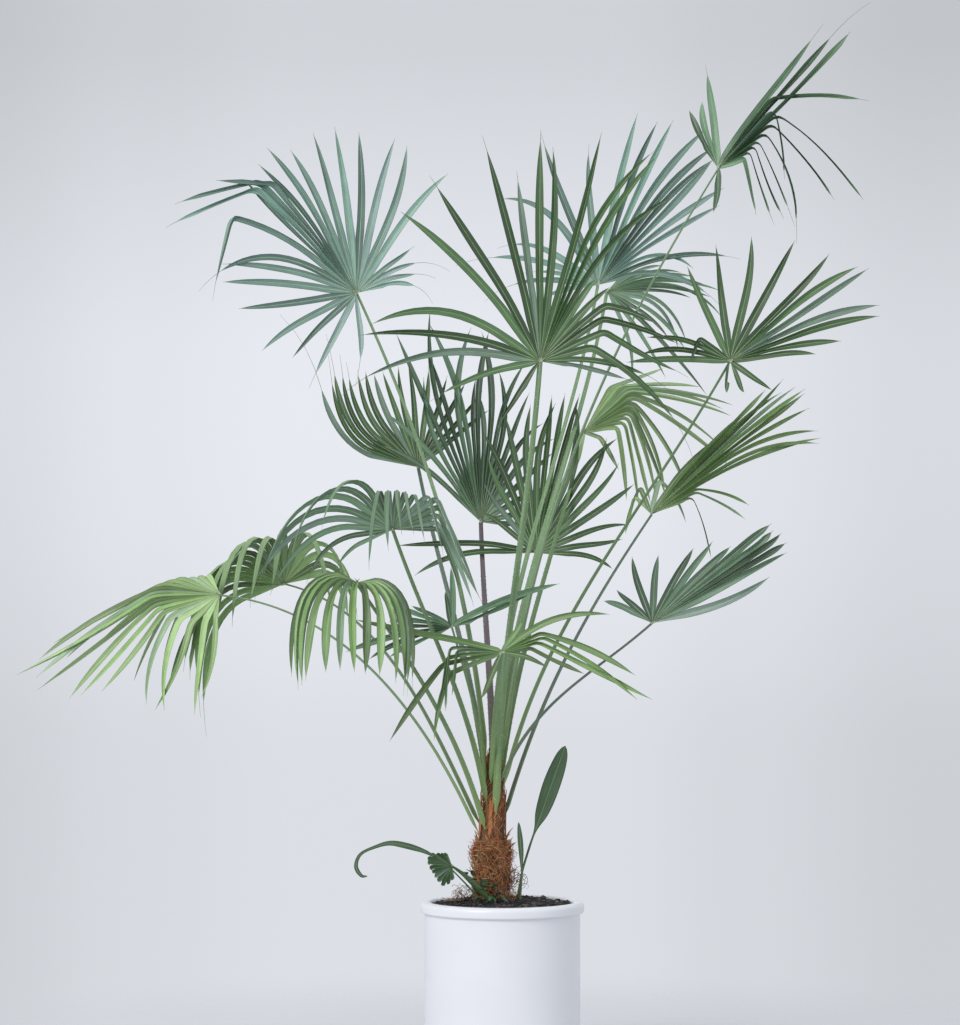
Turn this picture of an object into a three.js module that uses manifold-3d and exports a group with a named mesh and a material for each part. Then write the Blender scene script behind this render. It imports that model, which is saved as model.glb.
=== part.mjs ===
// A young fan palm in a round white pot: a single stem clad in brown fibre, eighteen
// long-stalked fronds, and three small shoots at the foot of the stem.
// Millimetres, +Z up. The origin is the centre of the pot's flat underside. The front
// of the plant faces -Y, and +X is to the right of it.

import * as THREE from 'three';
import Module from 'manifold-3d';

const wasm = await Module();
wasm.setup();
const { Manifold, Mesh: SolidMesh } = wasm;

// Clearance between pieces that meet, the least one kept between a leaf and a limb, and the
// volume in cubic millimetres that two leaflets of one leaf may share.
const SEAT_GAP = 0.35;
const LEAF_GAP = 0.6;
const LEAF_OVERLAP = 0.01;

const POT = {
  height: 296,
  bodyRadius: 135,
  footRadius: 130,
  footInset: 4,
  footChamfer: 3,
  footRise: 16,
  rimRadius: 142,
  rimDepth: 20,
  rimStep: 5,
  rimRound: 8,
  mouthRadius: 123.5,
  mouthRound: 4,
  floor: 14,
  sides: 40,
};

// The compost: flat where the stem stands, uneven towards the rim. Each row of the slope
// is how far in from the wall it lies, its share of the drop, and its share of the lumps.
const SOIL = {
  top: POT.height + 3,
  clearance: 0.3,
  flatRadius: 62,
  edgeDrop: 9,
  lump: 4,
  slope: [[0, 1, 0.5], [16, 0.6, 1], [34, 0.3, 1]],
  sides: 30,
};

// The stem: a fibre-clad foot, then a narrower shaft of leaf bases up to its tip.
const STEM = {
  x: -18,
  leanX: 3,
  foot: SOIL.top + SEAT_GAP,
  flareRadius: 39,
  flareHeight: 12,
  bodyRadius: 34,
  collarRadius: 37,
  collarDepth: 14,
  collarTop: 396,
  collarStep: 5,
  shaftRadius: 22,
  shaftTop: 500,
  tipRadius: 8,
  tip: 566,
  roughness: 1.6,
  sides: 14,
};

// A stalk's widths are read by the power taper; pull is how far its slopes reach into it.
const PETIOLE = { steps: 9, sides: 6, flatness: 0.62, taper: 0.75, pull: 0.36 };

// A leaflet's keel and edge are its thickness there, and keelTaper is the part of the keel
// lost by its tip. Leaflets fold by loose degrees where they have room, and never by less
// than flat. kinkShare is the part of a leaflet's bend that falls in one place, spread over
// kinkSpan of its length; its section there lies within kinkRange of its free length.
// closeness is the part of the room to the next leaflet it may fill, and leastFacing how
// much of that room is left at least where both hang. narrowest is the width of a very
// short leaflet against the longest. A leaflet that would cross another keeps the first of
// keptShares at which it is clear, or a stub.
const BLADE = {
  steps: 18,
  stations: [0.4, 0.74],
  keel: 4,
  keelTaper: 0.55,
  edge: 2,
  loose: 34,
  flat: 15,
  kinkShare: 0.75,
  kinkSpan: 0.1,
  kinkRange: [0.2, 0.7],
  closeness: 0.75,
  leastFacing: 0.3,
  taper: 1.5,
  narrowest: 0.5,
  longestSplit: 0.8,
  coreShare: 0.06,
  keptShares: [1, 0.82, 0.66, 0.5, 0.35, 0.2],
  stub: 0.1,
};

// How far leaflets stray from their lists' values, as shares, and how far apart the seeds
// of those three lie.
const STRAY = { angle: 0.1, reach: 0.04, sag: 0.04, seedStep: 0.3 };

const COLOURS = {
  glaze: 0xf0f1f4,
  soil: 0x1c1815,
  fibre: 0x7a4a2c,
  petiole: 0x5f7f48,
  darkPetiole: 0x3f4f3c,
  blueGreen: 0x4f7f6c,
  midGreen: 0x2f5d3f,
  freshGreen: 0x5f8f45,
};

// The fronds, from the top of the crown down. hub is the point the leaf's ribs spread
// from. lean is the direction of the leaf's axis in the front view, in degrees up from
// +X; tilt brings the axis towards the front, and roll turns the leaf about it. fan gives
// the ribs' angles from the axis, reach their lengths, and sag their bend under their own
// weight in degrees, most of it at the distance kink from the hub where that isn't 0.
// joined is how far from the hub a rib stays joined to the next, and blade is half a
// leaflet's width there, flattened out. These lists are read evenly from the first rib to
// the last. turn and height say where on the stem the stalk starts; leave and arrive are
// its slopes.
const FRONDS = [
  {
    name: 'upper_right', hub: [385, 40, 1588], lean: 40, tilt: 5, roll: -15, cup: 6, ribs: 16, seed: 4,
    tint: 'midGreen', blade: 9, joined: [25, 45, 60, 75, 100, 120, 110, 70, 45, 40],
    fan: [-126, -24, -19, -14, -10, -7, -4, -1, 1, 4, 7, 10, 14, 55, 68, 78],
    reach: [83, 152, 170, 194, 211, 255, 273, 335, 335, 252, 308, 308, 379, 167, 123, 113],
    sag: [0, 200, 200, 180, 160, 150, 110, 95, -12, 260, 0, 60, 20, -5, -10, -10],
    kink: [0, 54, 64, 76, 86, 104, 122, 140, 0, 141, 0, 154, 0, 0, 0, 0],
    turn: 2, height: 540, leave: 84, arrive: 58, width: [19, 7],
  },
  {
    name: 'back_right_top', hub: [204, 380, 1417], lean: -5, tilt: -10, roll: -25, cup: 4, ribs: 16,
    seed: 3, tint: 'freshGreen', blade: 7.5, joined: [45, 60, 70, 60, 45],
    fan: [-70, -55, -43, -33, -21, -9, -1, 6, 11, 15, 19, 23, 28, 34, 41, 49],
    reach: [200, 215, 265, 150, 190, 185, 200, 165, 200, 231, 231, 215, 190, 160, 130, 110],
    sag: [10, 30, 35, 20, 60, 110, 110, 15, 30, 40, 45, 45, 45, 40, 30, 20], kink: [0],
    turn: 62, height: 532, leave: 80, arrive: 70, width: [18, 7],
  },
  {
    name: 'top_middle', hub: [178, 200, 1402], lean: 68, tilt: -8, roll: 0, cup: 8, ribs: 20, seed: 31,
    tint: 'blueGreen', blade: 9.5, joined: [45, 70, 85, 90, 90, 85, 75, 60, 45],
    fan: [-51, -43, -36, -31, -26, -21, -16, -12, -7, -1, 5, 10, 28, 44, 54, 78, 89, 99, 108, 122],
    reach: [215, 245, 190, 272, 296, 319, 314, 328, 348, 332, 327, 317, 250, 265, 252, 177, 200, 110, 160,
      100],
    sag: [60, 40, 60, 25, 15, 10, 5, 5, 0, 0, 0, 0, 20, 15, 50, 30, 40, 20, 20, 10], kink: [0],
    turn: 79, height: 552, leave: 86, arrive: 76, width: [14, 7],
  },
  {
    name: 'upper_left', hub: [-249, -130, 1339], lean: 134, tilt: 8, roll: 0, cup: 8, ribs: 26, seed: 1,
    tint: 'blueGreen', blade: 9.5, joined: [45, 60, 90, 98, 98, 90, 70, 60, 50],
    fan: [-118, -111, -100, -93, -77, -67, -56, -46, -38, -28, -21, -15, -10, -7, -4, -1, 3, 6, 18, 26, 40,
      55, 72, 89, 109, 141],
    reach: [105, 108, 112, 115, 243, 262, 267, 268, 273, 275, 262, 277, 276, 330, 400, 390, 277, 360, 250,
      232, 220, 195, 192, 160, 157, 112],
    sag: [20, 20, 25, 10, 5, 0, 0, 0, 0, 0, 0, 0, 0, 72, 75, 80, 0, 200, 45, 40, 5, 0, 0, 0, 0, 0],
    kink: [0, 0, 0, 0, 0, 0, 0, 0, 0, 0, 0, 0, 0, 205, 222, 226, 0, 238, 0, 0, 0, 0, 0, 0, 0, 0],
    turn: 205, height: 545, leave: 84, arrive: 62, width: [17, 7],
  },
  {
    name: 'front_top', hub: [61, -260, 1206], lean: 92, tilt: 6, roll: 0, cup: 8, ribs: 23, seed: 2,
    tint: 'midGreen', blade: 10, joined: [40, 70, 100, 105, 105, 100, 75, 50],
    fan: [-97, -90, -76, -66, -57, -50, -42, -35, -29, -25, -22, -18, -8, -2, 5, 11, 26, 33, 55, 68, 79, 98,
      145],
    reach: [150, 176, 280, 247, 247, 222, 160, 161, 346, 403, 396, 367, 339, 351, 306, 358, 343, 332, 293,
      303, 288, 170, 120],
    sag: [20, 25, 60, 70, 60, 60, 10, 10, 45, 40, 20, 0, 0, 0, 10, 10, 40, 45, 50, 40, 30, 30, 10],
    kink: [0, 0, 92, 120, 128, 144, 0, 0, 0, 0, 0, 0, 0, 0, 184, 0, 0, 0, 0, 0, 0, 0, 0],
    turn: 285, height: 446, leave: 86, arrive: 76, width: [15, 9],
  },
  {
    name: 'right_middle', hub: [381, -200, 1214], lean: 50, tilt: 8, roll: 0, cup: 6, ribs: 18, seed: 5,
    tint: 'midGreen', blade: 9, joined: [30, 45, 70, 75, 75, 70, 60, 45, 35],
    fan: [-117, -88, -42, -36, -29, -23, -17, -9, -4, 11, 27, 46, 66, 94, 103, 114, 126, 205],
    reach: [59, 81, 141, 182, 253, 265, 262, 257, 240, 221, 205, 190, 169, 103, 151, 155, 175, 55],
    sag: [0, 0, 0, 10, 0, 5, -10, 0, 0, 0, 0, 0, 0, 150, 30, 20, 15, 0],
    kink: [0, 0, 0, 0, 0, 0, 0, 0, 0, 0, 0, 0, 0, 64, 0, 0, 0, 0],
    turn: 330, height: 490, leave: 76, arrive: 58, width: [14, 7],
  },
  {
    name: 'back_right_middle', hub: [157, 330, 1143], lean: 34, tilt: -10, roll: -40, cup: 2, ribs: 16,
    seed: 6, tint: 'freshGreen', blade: 9, joined: [30, 45, 80, 105, 112, 104],
    fan: [-132, -74, -38, -30, -23, -17, -12, -8, -4, 0, 4, 8, 12, 16, 21, 27],
    reach: [75, 110, 190, 225, 245, 262, 262, 290, 300, 328, 320, 335, 345, 330, 310, 280],
    sag: [10, 60, 200, 200, 190, 170, 150, 130, 110, 90, 66, 62, 58, 55, 52, 50],
    kink: [30, 42, 68, 80, 88, 94, 98, 104, 109, 114, 117, 120, 122, 119, 112, 102],
    turn: 60, height: 478, leave: 76, arrive: 62, width: [13, 7],
  },
  {
    name: 'back_left_middle', hub: [-155, 340, 1077], lean: 115, tilt: -10, roll: 0, cup: 12, ribs: 16,
    seed: 10, tint: 'midGreen', blade: 9.5, joined: [60, 75, 85, 90, 90],
    fan: [-80, -62, -45, -28, -12, 2, 15, 27, 37, 45, 53],
    reach: [170, 185, 180, 190, 185, 190, 200, 215, 235, 250, 262],
    sag: [-5, -5, -5, -10, -20, -40, -70, -95, -115, -120, -110], kink: [0],
    turn: 112, height: 462, leave: 76, arrive: 62, width: [13, 7],
  },
  {
    name: 'right_cupped', hub: [271, 150, 977], lean: 38, tilt: 5, roll: -25, cup: 10, ribs: 18, seed: 7,
    tint: 'midGreen', blade: 9, joined: [60, 90, 130, 150, 150, 110, 60, 40],
    fan: [-22, -19, -16, -13, -11, -8, -6, -4, -2, 0, 2, 4, 6, 8, 14, 40, 74, 94],
    reach: [190, 195, 195, 330, 345, 354, 350, 346, 342, 340, 335, 325, 290, 250, 170, 150, 125, 110],
    sag: [130, 60, 40, 15, 10, 10, 8, 5, 5, 5, 5, 5, 5, 10, 40, 200, 220, 220],
    kink: [86, 96, 98, 0, 0, 0, 0, 0, 0, 0, 0, 0, 0, 0, 0, 52, 36, 32],
    turn: 24, height: 438, leave: 72, arrive: 52, width: [13, 7],
  },
  {
    name: 'back_left_tall', hub: [-37, 300, 971], lean: 92, tilt: -4, roll: 0, cup: 8, ribs: 21, seed: 9,
    tint: 'midGreen', blade: 10, joined: [50, 80, 110, 115, 110, 90, 60],
    fan: [-97, -80, -62, -47, -36, -28, -22, -17, -12, -8, -4, 0, 3, 7, 11, 15, 19, 23, 28, 34, 41],
    reach: [120, 150, 170, 190, 200, 220, 248, 287, 300, 359, 240, 365, 261, 372, 373, 330, 411, 380, 300,
      260, 230],
    sag: [20, 15, 10, 5, 5, 5, 5, 0, 0, 0, 0, 0, 0, 0, 5, 5, 0, 5, 10, 15, 20], kink: [0],
    turn: 80, height: 455, leave: 78, arrive: 68, width: [15, 8],
  },
  {
    name: 'front_left_arched', hub: [-183, -240, 928], lean: 100, tilt: 26, roll: 0, cup: 8, ribs: 19,
    seed: 11, tint: 'blueGreen', blade: 7.5, joined: [58, 68, 74, 74, 70, 58],
    fan: [-95, -86, -77, -68, -59, -50, -38, -26, -14, -3, 7, 17, 27, 38, 49, 60, 71, 84, 100],
    reach: [190, 210, 225, 230, 215, 180, 150, 146, 152, 172, 205, 250, 275, 290, 290, 270, 235, 170, 110],
    sag: [110, 120, 130, 145, 160, 190, 200, 200, 190, 190, 190, 160, 145, 132, 115, 100, 85, 60, 60],
    kink: [78, 80, 86, 94, 100, 92, 80, 74, 70, 74, 84, 0, 0, 0, 0, 0, 0, 0, 0],
    turn: 238, height: 466, leave: 74, arrive: 60, width: [13, 7],
  },
  {
    name: 'back_middle', hub: [66, 285, 913], lean: 60, tilt: -4, roll: 0, cup: 8, ribs: 20, seed: 20,
    tint: 'midGreen', blade: 9.5, joined: [60, 90, 110, 115, 110, 90, 60],
    fan: [-63, -52, -38, -25, -16, -8, 0, 8, 15, 20, 24, 30, 37, 44, 52, 60, 70, 82, 110, 118],
    reach: [148, 160, 180, 216, 230, 250, 270, 290, 308, 300, 293, 285, 270, 260, 240, 200, 160, 130, 250,
      226],
    sag: [20, 15, 10, 8, 5, 5, 0, 0, 0, 0, 0, 0, 0, 0, 0, 5, 10, 15, 35, 25], kink: [0],
    turn: 96, height: 500, leave: 80, arrive: 70, width: [13, 7],
  },
  {
    name: 'left_inner', hub: [-393, 160, 851], lean: 115, tilt: 30, roll: 0, cup: 4, ribs: 18, seed: 13,
    tint: 'freshGreen', blade: 10, joined: [60, 72, 80, 80, 75, 65],
    fan: [-95, -59, -23, 0, 19, 37, 53, 77],
    reach: [170, 230, 300, 250, 320, 260, 300, 300, 310, 280],
    sag: [190, 230, 250, 250, 245, 230, 210, 190, 170, 150],
    kink: [0],
    turn: 158, height: 425, leave: 62, arrive: 12, width: [14, 7],
  },
  {
    name: 'front_left_low', hub: [-239, -300, 839], lean: 262, tilt: 74, roll: 0, cup: 2, ribs: 15,
    seed: 12, tint: 'freshGreen', blade: 12, joined: [34, 36, 34], fan: [-112, 112],
    reach: [215, 230, 215, 195, 185, 185, 200, 205, 215, 210],
    sag: [280, 270, 250, 220, 250, 270, 280], kink: [0],
    turn: 236, height: 420, leave: 66, arrive: 42, width: [13, 7],
  },
  {
    name: 'far_left', hub: [-489, -40, 827], lean: 185, tilt: 5, roll: 40, cup: 0, ribs: 18, seed: 14,
    tint: 'freshGreen', blade: 9, joined: [40, 65, 75, 80, 75, 60],
    fan: [-70, -55, -42, -33, -25, -18, -12, -7, -2, 3, 8, 13, 19, 27, 37, 50, 64, 80],
    reach: [180, 220, 260, 290, 310, 317, 330, 365, 380, 375, 370, 350, 335, 325, 290, 270, 225, 200],
    sag: [160, 130, 110, 78, 60, 48, 36, 38, 40, 44, 48, 52, 60, 70, 84, 95, 110, 90],
    kink: [54, 60, 68, 80, 92, 104, 112, 117, 118, 118, 116, 112, 106, 100, 92, 84, 72, 60],
    turn: 184, height: 412, leave: 66, arrive: 5, width: [15, 7],
  },
  {
    name: 'right_low', hub: [240, -330, 772], lean: 75, tilt: 10, roll: 0, cup: 10, ribs: 13, seed: 8,
    tint: 'midGreen', blade: 9, joined: [60, 170, 190, 190, 190, 185, 110, 70, 60, 50, 45, 40, 38],
    fan: [-58, -45, -42, -39, -36, -33, -28, -19, -11, 13, 34, 59, 74],
    reach: [201, 240, 251, 250, 250, 251, 186, 162, 136, 115, 117, 79, 86],
    sag: [-8, 0, 0, 0, 0, 0, 0, 0, 0, 0, 0, 10, 10], kink: [0],
    turn: 308, height: 500, leave: 58, arrive: 30, width: [9, 6],
  },
  {
    name: 'small_left', hub: [-87, -60, 770], lean: 95, tilt: 5, roll: 0, cup: 4, ribs: 11, seed: 15,
    tint: 'midGreen', blade: 8.5, joined: [30, 40, 35, 30, 30],
    fan: [-73, -66, -7, 6, 55, 63, 73, 82, 91, 98, 106],
    reach: [150, 196, 103, 60, 75, 92, 105, 117, 186, 150, 120],
    sag: [5, 8, 0, 0, 10, 10, 10, 10, 15, 15, 20], kink: [0],
    turn: 225, height: 505, leave: 84, arrive: 70, width: [9, 5],
  },
  {
    name: 'small_front', hub: [-2, -230, 726], lean: 90, tilt: 22, roll: 0, cup: 0, ribs: 14, seed: 16,
    tint: 'freshGreen', blade: 8, joined: [25, 40, 45, 40, 25, 45, 45, 40, 30],
    fan: [-102, -78, -72, -67, -60, -50, -30, 74, 79, 84, 90, 100, 110, 160],
    reach: [76, 150, 262, 265, 250, 190, 60, 252, 190, 150, 200, 257, 200, 90],
    sag: [20, 50, 55, 60, 55, 40, 5, 10, 230, 250, 230, 60, 110, 20],
    kink: [0, 50, 66, 76, 76, 0, 0, 0, 92, 80, 98, 103, 100, 0],
    turn: 260, height: 500, leave: 70, arrive: 30, width: [10, 6],
  },
];

// Small leaves that rise from the compost beside the stem. A strap leaf's line runs
// through its points; its widths are read evenly from foot to tip.
const STRAPS = [
  {
    name: 'shoot_right_tall', tint: 'midGreen', thickness: 3,
    line: [
      [27, -12, 0], [30, -13, 24], [35, -14, 52], [42, -15, 76], [51, -16, 104],
      [62, -17, 134], [74, -19, 167], [86, -21, 202], [98, -23, 235], [109, -25, 267],
    ],
    widths: [6, 4, 4, 4, 5, 22, 29, 30, 24, 1],
  },
  {
    name: 'shoot_right_small', tint: 'darkPetiole', thickness: 2,
    line: [[30, -34, 0], [33, -35, 36], [33, -35, 67], [32, -36, 91], [30, -37, 115], [28, -38, 136]],
    widths: [4, 3, 3, 8, 9, 1],
  },
];

// The shoot at the left: a small folded fan on a stalk, and a ribbon that runs on from it.
const SIDE_SHOOT = {
  foot: [-14, -54],
  fold: {
    name: 'shoot_left_blade', hub: [-86, -66, 361], lean: 188, tilt: 30, roll: 25, cup: 0,
    ribs: 11, seed: 40, tint: 'darkPetiole', blade: 7, joined: [30, 38, 44, 48, 44, 36],
    fan: [-74, 66], reach: [38, 46, 52, 56, 56, 48], sag: [30, 50, 60, 60, 50, 30], kink: [0],
    leave: 48, arrive: 30, width: [19, 9],
  },
  ribbon: {
    name: 'shoot_left_ribbon', tint: 'darkPetiole', thickness: 2.5,
    line: [
      [-117, -76, 379], [-137, -84, 389], [-166, -90, 398], [-192, -92, 402], [-216, -94, 396],
      [-241, -97, 384], [-249, -100, 364], [-240, -102, 348], [-229, -102, 347],
    ],
    widths: [4, 7, 10, 10, 8, 6, 5, 6, 7, 3],
  },
};

// The furthest a piece is moved to stand clear of its seat.
const SEAT_LIMIT = { soil: 12, hub: 40, ribbon: 30, stem: STEM.collarRadius * 1.2 };
const SEAT_STEPS = 12;

const SEEDS = { soil: 50, stem: 70 };

const FRONT = new THREE.Vector3(0, -1, 0);
const UP = new THREE.Vector3(0, 0, 1);
const DOWN = new THREE.Vector3(0, 0, -1);
const radians = THREE.MathUtils.degToRad;

/** A repeatable number from -1 to 1 for a seed and an index. */
function spreadOf(seed, index) {
  const wave = Math.sin(seed * 12.9898 + index * 78.233) * 43758.5453;
  return 2 * (wave - Math.floor(wave)) - 1;
}

/** Reads a list of values as an even curve over 0 to 1. */
function along(values, share) {
  const place = THREE.MathUtils.clamp(share, 0, 1) * (values.length - 1);
  const start = Math.floor(place);
  const end = Math.min(start + 1, values.length - 1);
  return THREE.MathUtils.lerp(values[start], values[end], place - start);
}

/** A closed solid being built: its corners, and its triangles as corner numbers. */
class Shell {
  constructor() {
    this.points = [];
    this.faces = [];
  }

  point(place) {
    this.points.push(place.clone());
    return this.points.length - 1;
  }

  face(a, b, c) {
    this.faces.push([a, b, c]);
  }

  quad(a, b, c, d) {
    this.face(a, b, c);
    this.face(a, c, d);
  }

  /** Joins two rings of corners, listed counter-clockwise as seen from the second. */
  band(first, second) {
    first.forEach((corner, i) => {
      const next = (i + 1) % first.length;
      this.quad(corner, first[next], second[next], second[i]);
    });
  }

  /** Closes the end of a ring with a fan about its first corner. */
  cap(ring, atEnd) {
    for (let i = 1; i + 1 < ring.length; i += 1) {
      if (atEnd) this.face(ring[0], ring[i], ring[i + 1]);
      else this.face(ring[0], ring[i + 1], ring[i]);
    }
  }

  volume() {
    return this.faces.reduce((sum, [a, b, c]) => {
      const [p, q, r] = [this.points[a], this.points[b], this.points[c]];
      return sum + p.dot(q.clone().cross(r)) / 6;
    }, 0);
  }

  /** Turns every triangle over if they face inwards. */
  facingOut() {
    if (this.volume() < 0) this.faces.forEach((face) => face.reverse());
    return this;
  }

  solid() {
    return new Manifold(new SolidMesh({
      numProp: 3,
      vertProperties: new Float32Array(this.points.flatMap((p) => p.toArray())),
      triVerts: new Uint32Array(this.faces.flat()),
    }));
  }

  geometry() {
    const geometry = new THREE.BufferGeometry().setFromPoints(this.points);
    geometry.setIndex(this.faces.flat());
    geometry.computeVertexNormals();
    return geometry;
  }
}

/** Joins a row of rings into one closed solid. */
function loft(rings) {
  const shell = new Shell();
  const rows = rings.map((ring) => ring.map((p) => shell.point(p)));
  for (let i = 0; i + 1 < rows.length; i += 1) shell.band(rows[i], rows[i + 1]);
  shell.cap(rows[0], false);
  shell.cap(rows[rows.length - 1], true);
  return shell.facingOut();
}

/** The room a solid takes, as a box that can be asked whether others come near it. */
function roomOf(solid) {
  const { min, max } = solid.boundingBox();
  return new THREE.Box3(new THREE.Vector3(...min), new THREE.Vector3(...max));
}

/** A placed piece: its shell, its solid for measuring clearances, and its room. */
function placed(shell) {
  const solid = shell.solid();
  return { shell, solid, room: roomOf(solid) };
}

function comesWithin(piece, others, clearance) {
  const reach = piece.room.clone().expandByScalar(clearance);
  return others.some((other) => (
    reach.intersectsBox(other.room) && piece.solid.minGap(other.solid, clearance * 2) < clearance
  ));
}

/** The smallest shift, up to a limit, at which a piece stands clear of its seat. */
function seat(build, carrier, limit) {
  let [near, far] = [0, limit];
  for (let i = 0; i < SEAT_STEPS; i += 1) {
    const middle = (near + far) / 2;
    if (comesWithin(placed(build(middle)), [carrier], SEAT_GAP)) near = middle;
    else far = middle;
  }
  return build(far);
}

// Pot and compost

function lathed(profile, sides) {
  const points = profile.map(([radius, height]) => new THREE.Vector2(radius, height));
  const geometry = new THREE.LatheGeometry(points, sides);
  geometry.rotateX(Math.PI / 2);
  return geometry;
}

/** The pot's profile runs from the middle of its underside, over the rim, to its floor. */
function potGeometry() {
  const rimFoot = POT.height - POT.rimDepth;
  const roundFoot = POT.height - POT.rimRound;
  return lathed([
    [0, 0],
    [POT.footRadius - POT.footInset, 0],
    [POT.footRadius, POT.footChamfer],
    [POT.bodyRadius, POT.footRise],
    [POT.bodyRadius, rimFoot],
    [POT.rimRadius, rimFoot + POT.rimStep],
    [POT.rimRadius, roundFoot],
    [POT.rimRadius - POT.rimRound / 3, POT.height - POT.rimRound / 3],
    [POT.rimRadius - POT.rimRound, POT.height],
    [POT.mouthRadius + POT.mouthRound, POT.height],
    [POT.mouthRadius, POT.height - POT.mouthRound],
    [POT.mouthRadius, POT.floor],
    [0, POT.floor],
  ], POT.sides);
}

function soilShell() {
  const outer = POT.mouthRadius * Math.cos(Math.PI / POT.sides) - SOIL.clearance;
  const slope = SOIL.slope.map(([inset, drop, lump]) => (
    { radius: outer - inset, height: SOIL.top - SOIL.edgeDrop * drop, lump: SOIL.lump * lump }
  ));
  const rows = [
    { radius: outer, height: POT.floor + SOIL.clearance, lump: 0 },
    ...slope,
    { radius: SOIL.flatRadius, height: SOIL.top, lump: 0 },
  ];
  return loft(rows.map(({ radius, height, lump }, row) => (
    Array.from({ length: SOIL.sides }, (_, i) => {
      const angle = (2 * Math.PI * i) / SOIL.sides;
      const rise = lump * spreadOf(SEEDS.soil + row, i);
      return new THREE.Vector3(radius * Math.cos(angle), radius * Math.sin(angle), height + rise);
    })
  )));
}

// Stem

function stemCentre(height) {
  const rise = (height - STEM.foot) / (STEM.tip - STEM.foot);
  return new THREE.Vector3(STEM.x + STEM.leanX * rise, 0, height);
}

function stemShell() {
  const rows = [
    [STEM.foot, STEM.flareRadius],
    [STEM.foot + STEM.flareHeight, STEM.bodyRadius],
    [STEM.collarTop - 3 * STEM.collarDepth, STEM.bodyRadius],
    [STEM.collarTop - STEM.collarDepth, STEM.collarRadius],
    [STEM.collarTop, STEM.bodyRadius],
    [STEM.collarTop + STEM.collarStep, STEM.shaftRadius + STEM.collarStep],
    [(STEM.collarTop + STEM.shaftTop) / 2, STEM.shaftRadius],
    [STEM.shaftTop, STEM.shaftRadius],
    [(STEM.shaftTop + STEM.tip) / 2, (STEM.shaftRadius + STEM.tipRadius) / 2],
    [STEM.tip, STEM.tipRadius],
  ];
  return loft(rows.map(([height, radius], row) => {
    const centre = stemCentre(height);
    return Array.from({ length: STEM.sides }, (_, i) => {
      const angle = (2 * Math.PI * (i + 0.5 * (row % 2))) / STEM.sides;
      const r = radius + STEM.roughness * spreadOf(SEEDS.stem + row, i);
      return centre.clone().add(new THREE.Vector3(r * Math.cos(angle), r * Math.sin(angle), 0));
    });
  }));
}

// Fronds

/** The leaf's own directions: along its middle rib, out of its face, and sideways. */
function leafFrame({ lean, tilt, roll }) {
  const rise = new THREE.Vector3(Math.cos(radians(lean)), 0, Math.sin(radians(lean)));
  const axis = rise.clone().multiplyScalar(Math.cos(radians(tilt)));
  axis.addScaledVector(FRONT, Math.sin(radians(tilt)));
  const face = FRONT.clone().multiplyScalar(Math.cos(radians(tilt)));
  face.addScaledVector(rise, -Math.sin(radians(tilt)));
  face.applyAxisAngle(axis, radians(roll));
  return { axis, face, side: face.clone().cross(axis) };
}

/** The direction in the cupped leaf at an angle from its middle rib. */
function rayOf(frond, angle) {
  const { axis, face, side } = frond.frame;
  const flat = axis.clone().multiplyScalar(Math.cos(angle)).addScaledVector(side, Math.sin(angle));
  const cup = radians(frond.cup);
  return {
    heading: flat.clone().multiplyScalar(Math.cos(cup)).addScaledVector(face, Math.sin(cup)),
    lift: face.clone().multiplyScalar(Math.cos(cup)).addScaledVector(flat, -Math.sin(cup)),
  };
}

/** Each rib's angle, length, bend and width, the same for every frond with the same seed. */
function ribsOf(frond) {
  const shareOf = (i) => i / (frond.ribs - 1);
  const angles = Array.from({ length: frond.ribs }, (_, i) => radians(along(frond.fan, shareOf(i))));
  const gapAfter = (i) => {
    const start = THREE.MathUtils.clamp(i, 0, frond.ribs - 2);
    return angles[start + 1] - angles[start];
  };
  const longest = Math.max(...frond.reach);
  return angles.map((angle, i) => {
    const [before, after] = [gapAfter(i - 1), gapAfter(i)];
    const stray = [1, 2].map((step) => spreadOf(frond.seed + step * STRAY.seedStep, i));
    const reach = along(frond.reach, shareOf(i)) * (1 + STRAY.reach * stray[0]);
    return {
      angle: angle + STRAY.angle * Math.min(before, after) * spreadOf(frond.seed, i),
      plainAngle: angle,
      before,
      after,
      reach,
      sag: radians(along(frond.sag, shareOf(i))) * (1 + STRAY.sag * stray[1]),
      kink: along(frond.kink, shareOf(i)) / reach,
      split: Math.min(along(frond.joined, shareOf(i)) / reach, BLADE.longestSplit),
      half: frond.blade * THREE.MathUtils.lerp(BLADE.narrowest, 1, reach / longest),
    };
  });
}

/**
 * Each fold between two ribs: its angle, the radius at which it opens, and its height. Ribs
 * that lie close fold steeply, and those far apart split nearer the hub.
 */
function foldsOf(frond, ribs) {
  return Array.from({ length: ribs.length + 1 }, (_, i) => {
    const before = ribs[Math.max(i - 1, 0)];
    const after = ribs[Math.min(i, ribs.length - 1)];
    const joined = (before.split * before.reach + after.split * after.reach) / 2;
    const half = (before.half + after.half) / 2;
    const looseAngle = Math.atan((half * Math.cos(radians(BLADE.loose))) / joined);
    const isEnd = before === after;
    const gap = isEnd ? 2 * looseAngle : after.plainAngle - before.plainAngle;
    const way = i === 0 ? -1 : 1;
    const flattest = Math.cos(radians(BLADE.flat));
    const radius = Math.min(joined, (half * flattest) / Math.tan(gap / 2));
    const fold = Math.acos(Math.min((joined * Math.tan(gap / 2)) / half, flattest));
    return {
      angle: isEnd ? before.plainAngle + way * looseAngle : (before.plainAngle + after.plainAngle) / 2,
      radius,
      rise: radius * Math.tan(gap / 2) * Math.tan(fold),
    };
  });
}

/** How much of the stretch from low to high lies between start and end. */
function overlap(low, high, start, end) {
  return Math.max(Math.min(high, end) - Math.max(low, start), 0) / (end - start);
}

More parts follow.
